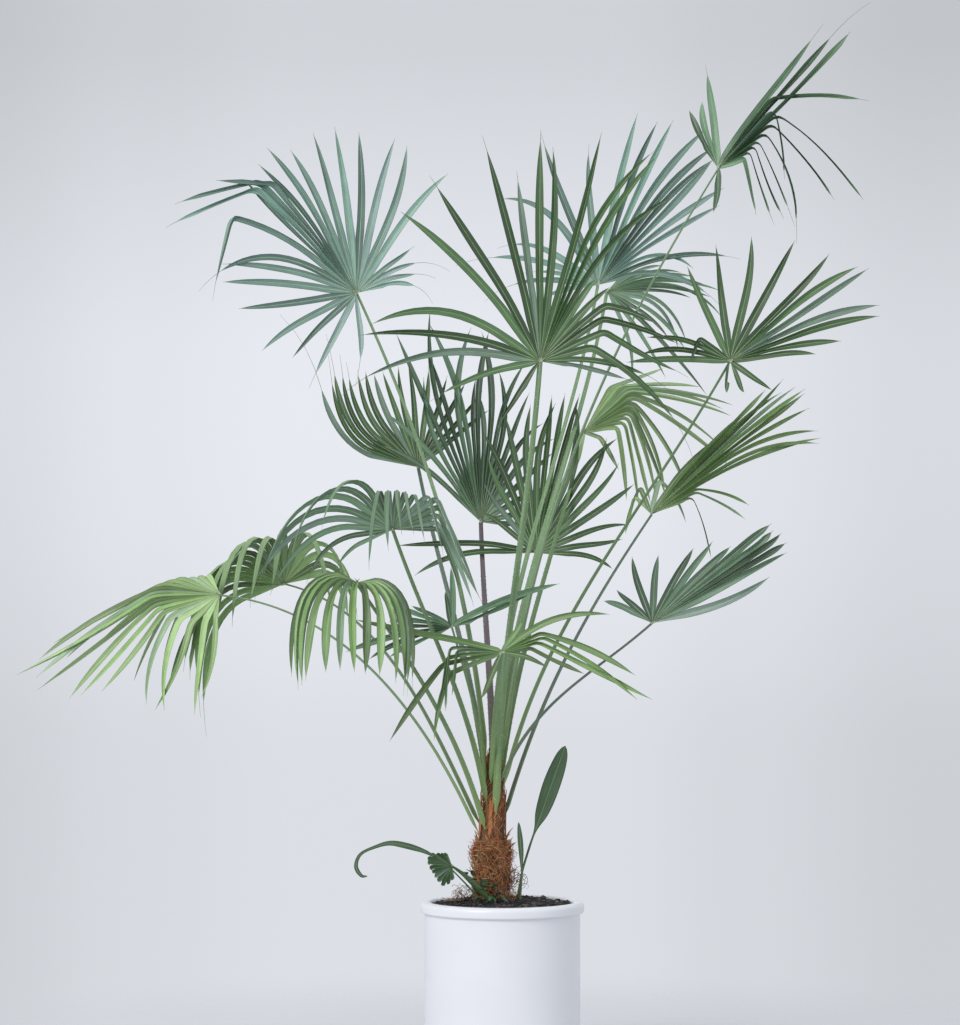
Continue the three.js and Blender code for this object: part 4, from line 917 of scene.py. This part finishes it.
def add_leaflet(shell, frond, i, tone):
    """One folded strip of the frond, from the hub, past the split, to its hair-thin tip."""
    rib = frond.rib_list[i]
    line = rib_line(frond, i)
    closed = math.radians(lerp(*LEAFLET.closed, 0.5 + 0.5 * stray_of(frond, "closed", i)))
    sides = [Side(frond, rib, line, -1, frond.fold_list[i], rib.before, closed),
             Side(frond, rib, line, 1, frond.fold_list[i + 1], rib.after, closed)]
    shares = [*(JOINED * rib.split), *(rib.split + (1 - rib.split) * FREE)]
    if rib.kink > 0:
        shares += [min(max(rib.kink, rib.split) + mark, 1.0) for mark in KINK_MARKS]
    rings = []
    fars = []
    kinds = []
    for share in sorted(set(shares)):
        far = share * rib.reach
        free = max(share - rib.split, 0) / (1 - rib.split)
        place, _, up = read_line(line, share * LEAFLET.steps)
        thick = [thinned(t, free) for t in (LEAFLET.keel, LEAFLET.skin, LEAFLET.strip)]
        rings.append(section(place, [side.edge(far) for side in sides], up, *thick))
        fars.append(far)
        kinds.append([tone, tone, RIB, tone, tone, *UNDERSIDES])
    kinds.pop()
    steps = len(line[0]) - 1
    for far in np.linspace(LEAFLET.steps + HAIR.start, steps, HAIR.rings):
        place, side, up = read_line(line, far)
        share = (far - LEAFLET.steps) / (steps - LEAFLET.steps)
        half = LEAFLET.thread * lerp(1.0, HAIR.tip, share)
        edges = (place - side * half, place + side * half)
        rings.append(section(place, edges, up, half, half, half * HAIR.skin))
        fars.append(rib.reach + far)
        kinds.append([DRY] * len(STRIP_MARKS))
    shell.loft(rings, kinds, fars, STRIP_MARKS + STRIP_GAP * i)


def add_heart(shell, frond):
    """The pale tuft where the ribs meet: small scales round the end of the stalk."""
    rng = random.Random(frond.seed * 7 + 3)
    size = TUFT.size + TUFT.growth * max(frond.reach)
    for k in range(TUFT.scales):
        angle = math.radians(along(frond.fan, (k + 0.5) / TUFT.scales))
        heading, lift = ray_of(frond, angle)
        length = size * rng.uniform(0.55, 1.1)
        out = unit(heading + lift * rng.uniform(0.5, 1.1))
        across = unit(np.cross(out, lift))
        root = frond.hub + lift * TUFT.out - heading * TUFT.back
        over = lift * TUFT.thick
        rings = [[p + across * w, p + over + out * TUFT.hook, p - across * w, p - over]
                 for p, w in zip(np.linspace(root, root + out * length, 3), TUFT.widths)]
        shell.loft(rings, HEART)


def frond_shell(frond):
    """A leaf blade: its leaflets one by one and its tuft."""
    shell = Shell()
    rng = random.Random(frond.seed * 11 + 5)
    for i in range(frond.ribs):
        add_leaflet(shell, frond, i, rng.choice(TONES))
    add_heart(shell, frond)
    return shell


# Stalks

# A stalk's sides, its thickness against its width, its roundness above and the groove there,
# how far its slopes reach, the distance of its rings, how deep it sits in the stem and under
# the hub, and how it thins and swells out of the stem
STALK = SimpleNamespace(
    sides=12, flatness=0.62, crown=0.55, groove=0.22, pull=0.36, pace=9, inside=0.2, under=2.0,
    slimming=0.75, foot=0.15, swell=0.045,
)
# The teeth along its margins start so far from its foot and end at a share of its length
TOOTH = SimpleNamespace(start=60.0, end=0.82, margin=0.49, back=1.3, front=1.1, half=0.5)
TOOTH_FACES = ((0, 2, 4), (2, 1, 4), (1, 3, 4), (3, 0, 4), (0, 3, 1, 2))


def stem_centre(height):
    """The middle of the leaning stem at a height."""
    rise = (height - STEM.foot) / (STEM.tip - STEM.foot)
    return np.array((STEM.x + STEM.lean_x * rise, 0.0, height))


def stem_radius(height):
    """The bare stem's radius at a height."""
    return float(np.interp(height, STEM_HEIGHTS, STEM_RADII))


def stalk_line(base, tip, leave, arrive, count):
    """The stalk's curve: it leaves the stem steeply and arrives at the hub's slope."""
    out = unit((tip - base) * (1, 1, 0))
    slopes = [out * math.cos(a) + UP * math.sin(a) for a in map(math.radians, (leave, arrive))]
    pull = np.linalg.norm(tip - base) * STALK.pull
    a, b, c, d = base, base + slopes[0] * pull, tip - slopes[1] * pull, tip
    t = np.linspace(0, 1, 120)[:, None]
    curve = (1 - t)**3 * a + 3 * t * (1 - t)**2 * b + 3 * t**2 * (1 - t) * c + t**3 * d
    return evenly(curve, count), np.cross(out, UP)


def add_stalk(shell, line, across, widths, seed):
    """A stalk rounded below and grooved above."""
    turns = full_turn(STALK.sides)
    high = np.sin(turns)
    high = np.where(high > 0, STALK.crown * high - STALK.groove * high**6, high)
    rings = []
    for place, ahead, width in zip(line, headings(line), widths):
        lift = unit(np.cross(across, ahead))
        rings.append(place + width / 2 * (np.outer(np.cos(turns), across)
                                          + STALK.flatness * np.outer(high, lift)))
    shell.loft(rings, 0, far_along(line), turns * 0.5 + seed)


def add_teeth(shell, line, across, widths, seed):
    """The small teeth along both margins of a stalk."""
    rng = random.Random(seed)
    heading = headings(line)
    length = far_along(line)[-1]
    far = TOOTH.start
    while far < length * TOOTH.end:
        spot = far / length * (len(line) - 1)
        i = int(spot)
        place = lerp(line[i], line[min(i + 1, len(line) - 1)], spot - i)
        ahead = heading[i]
        over = unit(np.cross(across, ahead)) * TOOTH.half
        for out in (-across, across):
            tall = rng.uniform(0.8, 1.7)
            root = place + out * widths[i] * TOOTH.margin
            tip = root + out * tall + ahead * rng.uniform(0.4, 1.6)
            points = [root - ahead * TOOTH.back, root + ahead * TOOTH.front, root + over,
                      root - over, tip]
            shell.solid(points, TOOTH_FACES, 1)
        far += rng.uniform(8, 15)


def petiole_shell(frond):
    """A frond's stalk from the stem to the hub, with its teeth."""
    shell = Shell()
    thick, thin = frond.width
    out = outward(math.radians(frond.turn))
    base = stem_centre(frond.height) + out * (stem_radius(frond.height) + thick * STALK.inside)
    tip = frond.hub - frond.frame[1] * STALK.under
    count = int(np.linalg.norm(tip - base) / STALK.pace)
    line, across = stalk_line(base, tip, frond.leave, frond.arrive, count)
    widths = [lerp(thick, thin, s**STALK.slimming) * lerp(STALK.foot, 1, smooth(s / STALK.swell))
              for s in np.linspace(0, 1, count)]
    add_stalk(shell, line, across, widths, frond.seed)
    add_teeth(shell, line, across, widths, frond.seed)
    return shell


# Stem

# How far the clad stem stands proud: in coarse and fine lumps, and in a leaf base below each
# stalk, which spreads so many radians and starts and ends so far below and above the stalk
RELIEF = SimpleNamespace(
    coarse=1.8, fine=1.2, base=2.2, swirl=1.6, pitch=30, finer=Vector((5, 5, 2)), spread=0.33,
    above=6, fade=30, below=95, rise=60,
)
# How many threads, scraps and roots each layer of the stem has
COUNTS = SimpleNamespace(fibres=1500, shreds=120, weave=150, flaps=26, fluff=420, ribbons=30)
# Where the fine curly roots lie: each ball's middle, its size and its number of roots
ROOT_BALLS = (
    ((22, -14, 330), (9, 9, 15), 34), ((-70, -20, 306), (18, 14, 15), 40),
    ((12, -26, 306), (12, 10, 7), 22), ((-36, -38, 306), (14, 8, 7), 22),
)
# How far a fibre's streaks are shifted at most, and how deep in the stem a hair starts
GRAIN_SHIFT = 90
SUNK = -1.0


def any_turn(rng):
    """A turn about the stem, drawn from all of them."""
    return rng.uniform(0, 2 * math.pi)


def any_way(rng, spread):
    """A vector drawn from all round."""
    return np.array([rng.gauss(0, spread) for _ in range(3)])


def surface_point(height, turn, out):
    """A point off the stem's surface."""
    return stem_centre(height) + outward(turn) * (stem_radius(height) + out)


def relief(height, turn):
    """How far the clad stem stands proud of its plain shape."""
    spot = Vector((*(outward(turn) * RELIEF.swirl)[:2], height / RELIEF.pitch))
    base = 0.0
    for row in FRONDS:
        away = math.remainder(turn - math.radians(row["turn"]), 2 * math.pi)
        above = height - row["height"]
        reach = smooth((RELIEF.above - above) / RELIEF.fade)
        reach *= smooth((above + RELIEF.below) / RELIEF.rise)
        base = max(base, math.exp(-(away / RELIEF.spread) ** 2) * reach)
    fine = noise.noise(spot * RELIEF.finer)
    return RELIEF.coarse * noise.noise(spot) + RELIEF.fine * fine + RELIEF.base * base


def stem_shell():
    """The body of the stem, under its mat and its sheath."""
    shell = Shell()
    turns = full_turn(132)
    pace, sunk, grain = 2.6, 1.5, 12
    rows = int((STEM.tip - STEM.foot) / pace)
    heights = np.linspace(STEM.foot - sunk, STEM.tip, rows + 1)
    rings = [[surface_point(h, t, relief(h, t)) for t in turns] for h in heights]
    shell.loft(rings, CORE, heights, turns * grain)
    return shell


def add_fibres(shell, rng):
    """The matted fibre round the stem's foot, thread by thread."""
    wobble, tip_share = 0.25, 0.35
    for _ in range(COUNTS.fibres):
        height = lerp(STEM.foot + 2, STEM.collar_top, rng.random() ** 0.9)
        ceiling = STEM.collar_top + rng.uniform(-16, 12)
        turn = any_turn(rng)
        slope = math.radians(rng.gauss(90, 60))
        lift = rng.uniform(0.2, 4.5)
        loop = 13 * rng.random() ** 4
        curl = rng.gauss(0, 0.4)
        pace = rng.uniform(2.6, 6.0)
        count = rng.randint(6, 10)
        line = []
        for k in range(count):
            out = lift + loop * math.sin(math.pi * k / (count - 1) * 0.75) + relief(height, turn)
            line.append(surface_point(min(max(height, STEM.foot), ceiling), turn, out))
            slope += curl + rng.gauss(0, wobble)
            height += pace * math.sin(slope)
            turn += pace * math.cos(slope) / STEM.body
        thick = rng.uniform(0.35, 1.0)
        shell.strand(line, np.linspace(thick, thick * tip_share, count), rng.choice(MAT_KINDS),
                     shift=rng.uniform(0, GRAIN_SHIFT))


def add_shreds(shell, rng):
    """The shreds that peel off the mat."""
    form = np.array((0.8, 1, 0.95, 0.8, 0.5, 0.1))
    for _ in range(COUNTS.shreds):
        turn = any_turn(rng)
        height = lerp(STEM.foot + 14, STEM.collar_top + 4, rng.random() ** 0.6)
        out = outward(turn)
        side = np.cross(UP, out) * rng.gauss(0, 0.5)
        rise = unit(UP * rng.uniform(0.3, 1.1) + side)
        peel = rng.uniform(0.05, 0.7)
        length = rng.uniform(12, 26)
        place = surface_point(height, turn, 1.0)
        line = bowed(place, rise * length, out * peel * length, len(form))
        wide = rng.uniform(1.2, 2.6)
        shell.strand(line, wide * form, rng.choice(MAT_KINDS), sides=6, flat=0.3,
                     shift=rng.uniform(0, GRAIN_SHIFT))


def add_weave(shell, rng):
    """The woven sheath of the shaft: threads that wind one way over threads that wind back."""
    low, high = STEM.collar_top + 2, STEM.tip - 6
    rise, run = 4.2, 3.4
    for k in range(COUNTS.weave):
        way, out = ((-1, 1.6), (1, 2.3))[k % 2]
        turn = any_turn(rng)
        height = rng.uniform(low, high - 24)
        line = []
        for _ in range(9):
            line.append(surface_point(min(height, high), turn, out + relief(height, turn)))
            height += rise
            turn += way * run / STEM.shaft
        shell.strand(line, rng.uniform(0.4, 0.8), rng.choice((DARK, TAN, TAN, RED, RED)), flat=0.5)


def add_flaps(shell, rng):
    """The brown flaps of old leaf bases round the shaft's foot, ragged along their margins."""
    for _ in range(COUNTS.flaps):
        turn = any_turn(rng)
        height = rng.uniform(STEM.collar_top - 8, STEM.collar_top + 30)
        tall = rng.uniform(35, 75)
        wide = rng.uniform(3.5, 8.0)
        peel = rng.uniform(0.5, 4.0)
        heights = np.linspace(height, height + tall, 8)
        rings = []
        for at in heights:
            share = (at - height) / tall
            out = 2.5 + peel * share**2
            spread = (wide / 2 * (1 - share**3) + 0.3) / stem_radius(at)
            left, right = (surface_point(at + rng.uniform(-1, 1), side, out)
                           for side in (turn - spread, turn + spread))
            rings.append([left, surface_point(at, turn, out + 1.3), right,
                          surface_point(at, turn, out + 0.3)])
        shell.loft(rings, rng.choice((BROWN, DARK, RED, RED)), heights, (0, 3, 6, 3))


def add_fluff(shell, rng):
    """The fine hairs that stand out round the collar."""
    paces, wobble, tip_share = 7, 0.25, 0.3
    for _ in range(COUNTS.fluff):
        turn = any_turn(rng)
        height = rng.gauss(STEM.collar_top - 12, 9)
        heading = unit(outward(turn, rng.gauss(0.1, 0.75)))
        length = rng.uniform(5, 17) + 16 * rng.random() ** 6
        line = [surface_point(min(height, STEM.collar_top), turn, SUNK)]
        for _ in range(paces):
            heading = unit(heading + any_way(rng, wobble))
            line.append(line[-1] + heading * length / paces)
        thick = rng.uniform(0.2, 0.5)
        shell.strand(line, np.linspace(thick, thick * tip_share, len(line)), rng.choice(MAT_KINDS))


def add_ribbons(shell, rng):
    """Flat ribbons at the collar: the first at its right, the others round its left."""
    for k in range(COUNTS.ribbons):
        turn, depth = 0.0, 3
        if k:
            turn = math.pi + rng.gauss(0, 1.2)
            depth = rng.uniform(-8, 34)
        heading = unit(outward(turn, rng.gauss(0.15, 0.3)))
        place = surface_point(STEM.collar_top - depth, turn, SUNK)
        length = rng.uniform(12, 22)
        droop = rng.gauss(0, 4)
        line = bowed(place, heading * length, UP * droop, 6)
        shell.strand(line, np.linspace(1.6, 0.3, len(line)), rng.choice((BROWN, TAN, RED, RED)),
                     sides=5, flat=0.45)


def add_roots(shell, rng):
    """Fine curly roots: a fluff at the right of the foot and a low dome at its left."""
    pace, inward, clear = 3.2, 0.12, 0.6
    for centre, size, count in ROOT_BALLS:
        for _ in range(count):
            line = [np.array([c + s * rng.uniform(-0.8, 0.8) for c, s in zip(centre, size)])]
            heading = unit(any_way(rng, 1))
            spin = unit(any_way(rng, 1))
            for _ in range(14):
                heading = turned(heading, spin, rng.uniform(0.15, 0.5))
                pull = (np.array(centre) - line[-1]) / np.array(size)
                if np.linalg.norm(pull) > 1:
                    heading = heading + inward * pull
                heading = unit(heading)
                step = line[-1] + heading * pace
                step[2] = max(step[2], SOIL_TOP + clear)
                line.append(step)
            shell.strand(line, rng.uniform(0.25, 0.5), rng.choice((DARK, TAN, ROOT, ROOT)))


def clad_shell(seed, *layers):
    """A shell of layers that draw from one run of random numbers."""
    shell = Shell()
    rng = random.Random(seed)
    for add_layer in layers:
        add_layer(shell, rng)
    return shell


# Pot and compost

# A lathed profile starts and ends this far from the axis
AXIS = 0.01
# How far the underside's middle is above the ground
RECESS = 3.0
# The compost: its broadest lumps' size, each set of lumps' fineness and height, the mound
# round the stem, and where it falls and calms towards the rim
SOIL = SimpleNamespace(
    radius=122.6, around=150, rows=44, skirt=(1, 90), lump=17, layer=4.0,
    lumps=((1, 3.4), (2.7, 1.9), (6, 0.9)), mound=2.0, mound_start=30, mound_width=26,
    calm=0.6, calm_start=0.9, calm_span=0.1, fall_start=0.45, fall_span=0.5,
)
CRUMBS = 1500
CRUMB_RADII = ((0.7, 1.4), (0.6, 1.1), (0.4, 0.8))


def arc(centre, radii, start, end, steps):
    """A quarter of an ellipse, or any stretch of one, in a lathed profile."""
    angles = np.radians(np.linspace(start, end, steps))
    return [(centre[0] + radii[0] * math.cos(a), centre[1] + radii[1] * math.sin(a)) for a in angles]


def pot_shell():
    """The pot, lathed: its recessed underside, foot, wall, rolled rim and inside."""
    shell = Shell()
    step = POT.height - POT.rim_depth
    profile = [
        (AXIS, RECESS), (POT.foot - 16, RECESS), *arc((POT.foot - 13, RECESS), (3, 3), 180, 270, 4),
        *arc((POT.foot - 5, 5.0), (5, 5), 270, 350, 5),
        *[(lerp(POT.foot, POT.body, smooth(s)), lerp(5, 22, s)) for s in (0.3, 0.6, 1.0)],
        (POT.body, 70), (POT.body, 130), (POT.body, 200), (POT.body, step - 6),
        *arc((POT.body + 3.4, step - 2.5), (3.4, 3.5), 180, 95, 5),
        *arc((POT.rim - 3.2, step + 4.4), (3.2, 3.4), 270, 360, 6),
        (POT.rim, step + 9), (POT.rim, POT.height - 9),
        *arc((POT.rim - 8, POT.height - 8), (8, 8), 0, 90, 9),
        (POT.mouth + 6, POT.height),
        *arc((POT.mouth + 5, POT.height - 5), (5, 5), 90, 180, 6),
        (POT.mouth, POT.height - 30), (POT.mouth, POT.floor + 40), (POT.mouth, POT.floor),
        (AXIS, POT.floor),
    ]
    shell.loft([circle(radius, POT.sides, height) for radius, height in profile])
    return shell


def soil_height(x, y):
    """The compost's top: higher round the stem, lumpy, and lower along the rim."""
    far = math.hypot(x, y) / SOIL.radius
    spot = Vector((x / SOIL.lump, y / SOIL.lump, SOIL.layer))
    lumps = sum(noise.noise(spot * fineness) * height for fineness, height in SOIL.lumps)
    mound = (math.hypot(x - STEM.x, y) - SOIL.mound_start) / SOIL.mound_width
    calm = 1 - SOIL.calm * smooth((far - SOIL.calm_start) / SOIL.calm_span)
    fall = SOIL_EDGE_DROP * smooth((far - SOIL.fall_start) / SOIL.fall_span)
    return SOIL_TOP - fall + lumps * calm + SOIL.mound * math.exp(-mound**2)


def soil_shell():
    """The compost: a lumpy disc with crumbs and chips on it."""
    shell = Shell()
    rings = [circle(SOIL.radius, SOIL.around, POT.floor + height) for height in SOIL.skirt]
    for k in range(SOIL.rows + 1):
        ring = circle(SOIL.radius * (1 - k / SOIL.rows) + AXIS, SOIL.around)
        rings.append([(x, y, soil_height(x, y)) for x, y, _ in ring])
    shell.loft(rings)
    rng = random.Random(63)
    for _ in range(CRUMBS):
        far = SOIL.radius * 0.97 * rng.random() ** 0.5
        x, y, _ = far * outward(any_turn(rng))
        size = rng.uniform(1.0, 3.6) + 3.5 * rng.random() ** 7
        centre = np.array((x, y, soil_height(x, y) + size * 0.2))
        radii = [size * rng.uniform(*span) for span in CRUMB_RADII]
        shell.lump(centre, radii, rng.choice(CRUMB_KINDS), rng)
    return shell


# Shoots

# A strap: its stations, the share of it that rounds off, its least width, how its half width
# starts and ends its change from a stalk into a blade, the blade's skin and fold, its midrib's
# reach, and how many millimetres a radian of its waves takes
STRAP = SimpleNamespace(
    stations=64, tip=0.07, least=0.6, opens=2.5, opening=6, skin=0.45, fold=0.22, rib=0.8, wave=9,
)
# The thin stalk under the side shoot's broad one, from its foot and up to its tip
THIN_STALK = ((-16, -4, -2), (-30, -8, 14), (-48, -10, 34))
THIN_STALK_END = (2, 3, 5)
# The small leaves along the side shoot's stalk: their first and last place and their form
SIDE_LEAVES = 26
SIDE_LEAF_PLACES = np.array(((6, 0, 6), (-46, 0, 46)))
SIDE_LEAF_FORM = np.array((0.3, 0.75, 1, 1, 0.9, 0.7, 0.4, 0.1))


def strap_widths(widths):
    """A strap's widths as a smooth curve that rounds off at the tip."""
    marks = np.array([(k, w, 0) for k, w in enumerate(widths)])
    curve = through(marks, 4 * STRAP.stations)
    shares = np.linspace(0, 1, STRAP.stations)
    smooth_widths = np.interp(shares * (len(widths) - 1), curve[:, 0], curve[:, 1])
    past = np.clip((shares - 1 + STRAP.tip) / STRAP.tip, 0, 1)
    return np.maximum(smooth_widths * np.sqrt(1 - past**2), STRAP.least)


def strap_shell(row, start, waves=0.0):
    """A strap leaf along its line: a thin stalk that opens into a blade with a midrib."""
    shell = Shell()
    line = through([np.add(p, start) for p in row["line"]], STRAP.stations)
    fars = far_along(line)
    rings = []
    for place, heading, width, far in zip(line, headings(line), strap_widths(row["widths"]), fars):
        half = width / 2
        across = unit(np.cross(heading, FRONT))
        lift = unit(np.cross(across, heading))
        deep = min(half, row["thickness"] / 2)
        broad = smooth((half - STRAP.opens) / STRAP.opening)
        sway = waves * half * math.sin(far / STRAP.wave)
        skin = lerp(deep, STRAP.skin, broad)
        fold = half * STRAP.fold * broad
        rib = STRAP.rib * min(1, half)
        corners = (
            (-half, fold + sway), (-half / 2, fold / 4 + skin), (-rib, deep / 2), (rib, deep / 2),
            (half / 2, fold / 4 + skin), (half, fold - sway), (half / 2, fold / 4 - skin),
            (0, -deep), (-half / 2, fold / 4 - skin),
        )
        rings.append([place + across * out + lift * up for out, up in corners])
    shell.loft(rings, [1, 1, RIB, 1, 1, *UNDERSIDES], fars, STRIP_MARKS)
    return shell


def drawn(rng, *spans):
    """A vector with each part drawn from its span."""
    return np.array([rng.uniform(*span) for span in spans])


def side_stalk_shell(fold):
    """The side shoot's stalk: broad and flat, with a thin one under it and small leaves."""
    shell = Shell()
    tip = fold.hub - fold.frame[0]
    line, across = stalk_line(SIDE_FOOT, tip, fold.leave, fold.arrive, 40)
    widths = [along(fold.width, s) for s in np.linspace(0, 1, len(line))]
    add_stalk(shell, line, across, widths, seed=2)
    thin = through([*(SIDE_FOOT + THIN_STALK), tip - THIN_STALK_END], 30)
    shell.strand(thin, np.linspace(1.7, 1.2, len(thin)), sides=8)
    rng = random.Random(8)
    for _ in range(SIDE_LEAVES):
        root = SIDE_FOOT + lerp(*SIDE_LEAF_PLACES, rng.uniform(0, 1)) + FRONT * rng.uniform(10, 3)
        root += (rng.uniform(-12, 12), 0, rng.uniform(-6, 6))
        heading = unit(drawn(rng, (-0.9, 0.9), (-0.5, -0.1), (0.0, 1.0)))
        length = rng.uniform(14, 27)
        curl = drawn(rng, (-9, 9), (-4, 2), (-14, -4))
        leaf = bowed(root, heading * length, curl, len(SIDE_LEAF_FORM))
        wide = rng.uniform(3.6, 6.4) * SIDE_LEAF_FORM
        shell.strand(leaf, wide, sides=8, flat=0.14)
    return shell


# Assembly

leaf_sets = {look: leaf_materials(look) for look in LOOKS}
stalk_sets = {
    name: [stalk_finish(f"stalk_{name}", colour, scurf, tint),
           plain_finish(f"stalk_{name}_teeth", blended(colour, *TEETH), 0.6)]
    for name, (colour, scurf, tint) in STALKS.items()
}
fibre_set = [fibre_finish(f"fibre_{name}", colour) for name, colour in FIBRES.items()]
compost_set = [compost_finish(f"compost_{name}", *pair) for name, pair in COMPOSTS.items()]

add_piece("pot_glazed", pot_shell(), [glaze_finish()], ["pot"], sharp=50)
add_piece("compost", soil_shell(), compost_set, ["soil"], sharp=60)
add_piece("stem_bark", stem_shell(), fibre_set, ["trunk"], sharp=70)
mat = clad_shell(91, add_fibres, add_shreds)
sheath = clad_shell(17, add_weave, add_flaps, add_fluff, add_ribbons)
add_piece("stem_mat", mat, fibre_set, sharp=70)
add_piece("stem_sheath", sheath, fibre_set, sharp=70)
add_piece("stem_roots", clad_shell(29, add_roots), fibre_set, sharp=70)

for row in FRONDS:
    frond = grown(row)
    node = f"petiole_{frond.name}"
    add_piece(f"stalk_{frond.name}", petiole_shell(frond), stalk_sets[frond.stalk], [node])
    node = f"blade_{frond.name}"
    add_piece(f"frond_{frond.name}", frond_shell(frond), leaf_sets[frond.look], [node])

on_soil = np.array((0, 0, SOIL_TOP - 1.0))
for row in STRAPS:
    add_piece(f"{row['name']}_leaf", strap_shell(row, on_soil), leaf_sets["shade"], [row["name"]])
fold = grown(SIDE_FOLD)
add_piece("shoot_left_fan", frond_shell(fold), leaf_sets[fold.look], [fold.name])
add_piece("shoot_left_base", side_stalk_shell(fold), stalk_sets[fold.stalk],
          ["shoot_left_stalk"])
add_piece("shoot_left_strap", strap_shell(SIDE_RIBBON, np.zeros(3), waves=0.2), leaf_sets["shade"],
          [SIDE_RIBBON["name"]])

# Floor, light and camera

FLOOR_RADIUS = 3.0
FLOOR_GREYS = [(0.3, (0.60, 0.61, 0.63)), (0.7, (0.62, 0.63, 0.65))]
FADE_START, FADE_END = 0.35, 1.6
# The backdrop's brightness by height of view, its share by side, and its cool tint
BACK_HEIGHTS = ((-0.12, 0.745), (-0.03, 0.735), (0.0, 0.775), (0.05, 0.83), (0.12, 0.84), (0.15, 0.80),
                (0.19, 0.735), (0.235, 0.655), (0.5, 0.60), (1.0, 0.95))
BACK_SIDES = ((-0.19, 0.86), (-0.13, 0.95), (-0.07, 1.0), (0.05, 0.99), (0.1, 0.93), (0.17, 0.85))
BACK_TINT = (0.965, 1.0, 1.06)
# Each light's name, place, size, power and colour; all of them aim at the plant's middle
LIGHT_AIM = Vector((0, 0, 0.9))
LIGHTS = (
    ("key", Vector((-2.6, -3.4, 2.6)), 2.4, 125, (1.0, 0.99, 0.97)),
    ("fill", Vector((3.0, -2.4, 1.6)), 2.6, 12, (0.94, 0.97, 1.0)),
    ("top", Vector((0.4, 1.2, 4.2)), 3.0, 40, (1.0, 1.0, 1.0)),
)
CAMERA_PLACE = Vector((-0.0385, -4.5, 0.7))
CAMERA_AIM = Vector((-0.0385, 0.0, 0.971))
CAMERA_LENS = 90.48
CAMERA_SENSOR = 36
CAMERA_REACH = 60


def stage_floor():
    """A pale floor that fades into the backdrop's colour far from the plant."""
    bpy.ops.mesh.primitive_circle_add(vertices=128, radius=FLOOR_RADIUS, fill_type="NGON")
    floor = bpy.context.object
    floor.name = "floor"
    finish = Finish("floor_pale", roughness=0.75, specular=0.15)
    finish.feed("Base Color", finish.ramp(finish.noise(1.5), FLOOR_GREYS))
    far = finish.add("VectorMath", {0: finish.place}, operation="LENGTH").outputs["Value"]
    inputs = {"Value": far, "From Min": FADE_START, "From Max": FADE_END}
    fade = finish.add("MapRange", inputs, interpolation_type="SMOOTHSTEP").outputs["Result"]
    clear = finish.add("BsdfTransparent").outputs[0]
    blend = finish.add("MixShader", {0: fade, 1: finish.shader.outputs[0], 2: clear})
    finish.set(finish.nodes["Material Output"].inputs["Surface"], blend.outputs[0])
    floor.data.materials.append(finish.material)


def backdrop():
    """The studio round the plant: pale at the floor, greyer above, bright overhead."""
    world = bpy.data.worlds.new("studio")
    bpy.context.scene.world = world
    studio = Shading(world)
    view = studio.add("TexCoord").outputs["Generated"]

    def greys(axis, stops, easing):
        """Greys read against a part of the view's direction."""
        low, high = stops[0][0], stops[-1][0]
        inputs = {"Value": studio.part(view, axis), "From Min": low, "From Max": high}
        reach = studio.add("MapRange", inputs).outputs["Result"]
        shares = [((spot - low) / (high - low), grey) for spot, grey in stops]
        return studio.ramp(reach, shares, easing)

    light = studio.product(greys("Z", BACK_HEIGHTS, "B_SPLINE"), greys("X", BACK_SIDES, "EASE"))
    studio.set(studio.nodes["Background"].inputs["Color"], studio.product(light, BACK_TINT))


def aimed(name, data, place, aim):
    """Puts a light or the camera at its place, turned towards its aim."""
    holder = bpy.data.objects.new(name, data)
    holder.location = place
    holder.rotation_euler = (aim - place).to_track_quat("-Z", "Y").to_euler()
    bpy.context.scene.collection.objects.link(holder)
    return holder


def area_light(name, place, size, power, colour):
    """A round soft light."""
    light = bpy.data.lights.new(name, "AREA")
    light.shape = "DISK"
    light.size = size
    light.energy = power
    light.color = colour
    aimed(name, light, place, LIGHT_AIM)


stage_floor()
backdrop()
for row in LIGHTS:
    area_light(*row)

lens = bpy.data.cameras.new("camera")
lens.lens = CAMERA_LENS
lens.sensor_width = CAMERA_SENSOR
lens.clip_end = CAMERA_REACH
bpy.context.scene.camera = aimed("camera", lens, CAMERA_PLACE, CAMERA_AIM)
bpy.context.scene.view_settings.view_transform = "Standard"
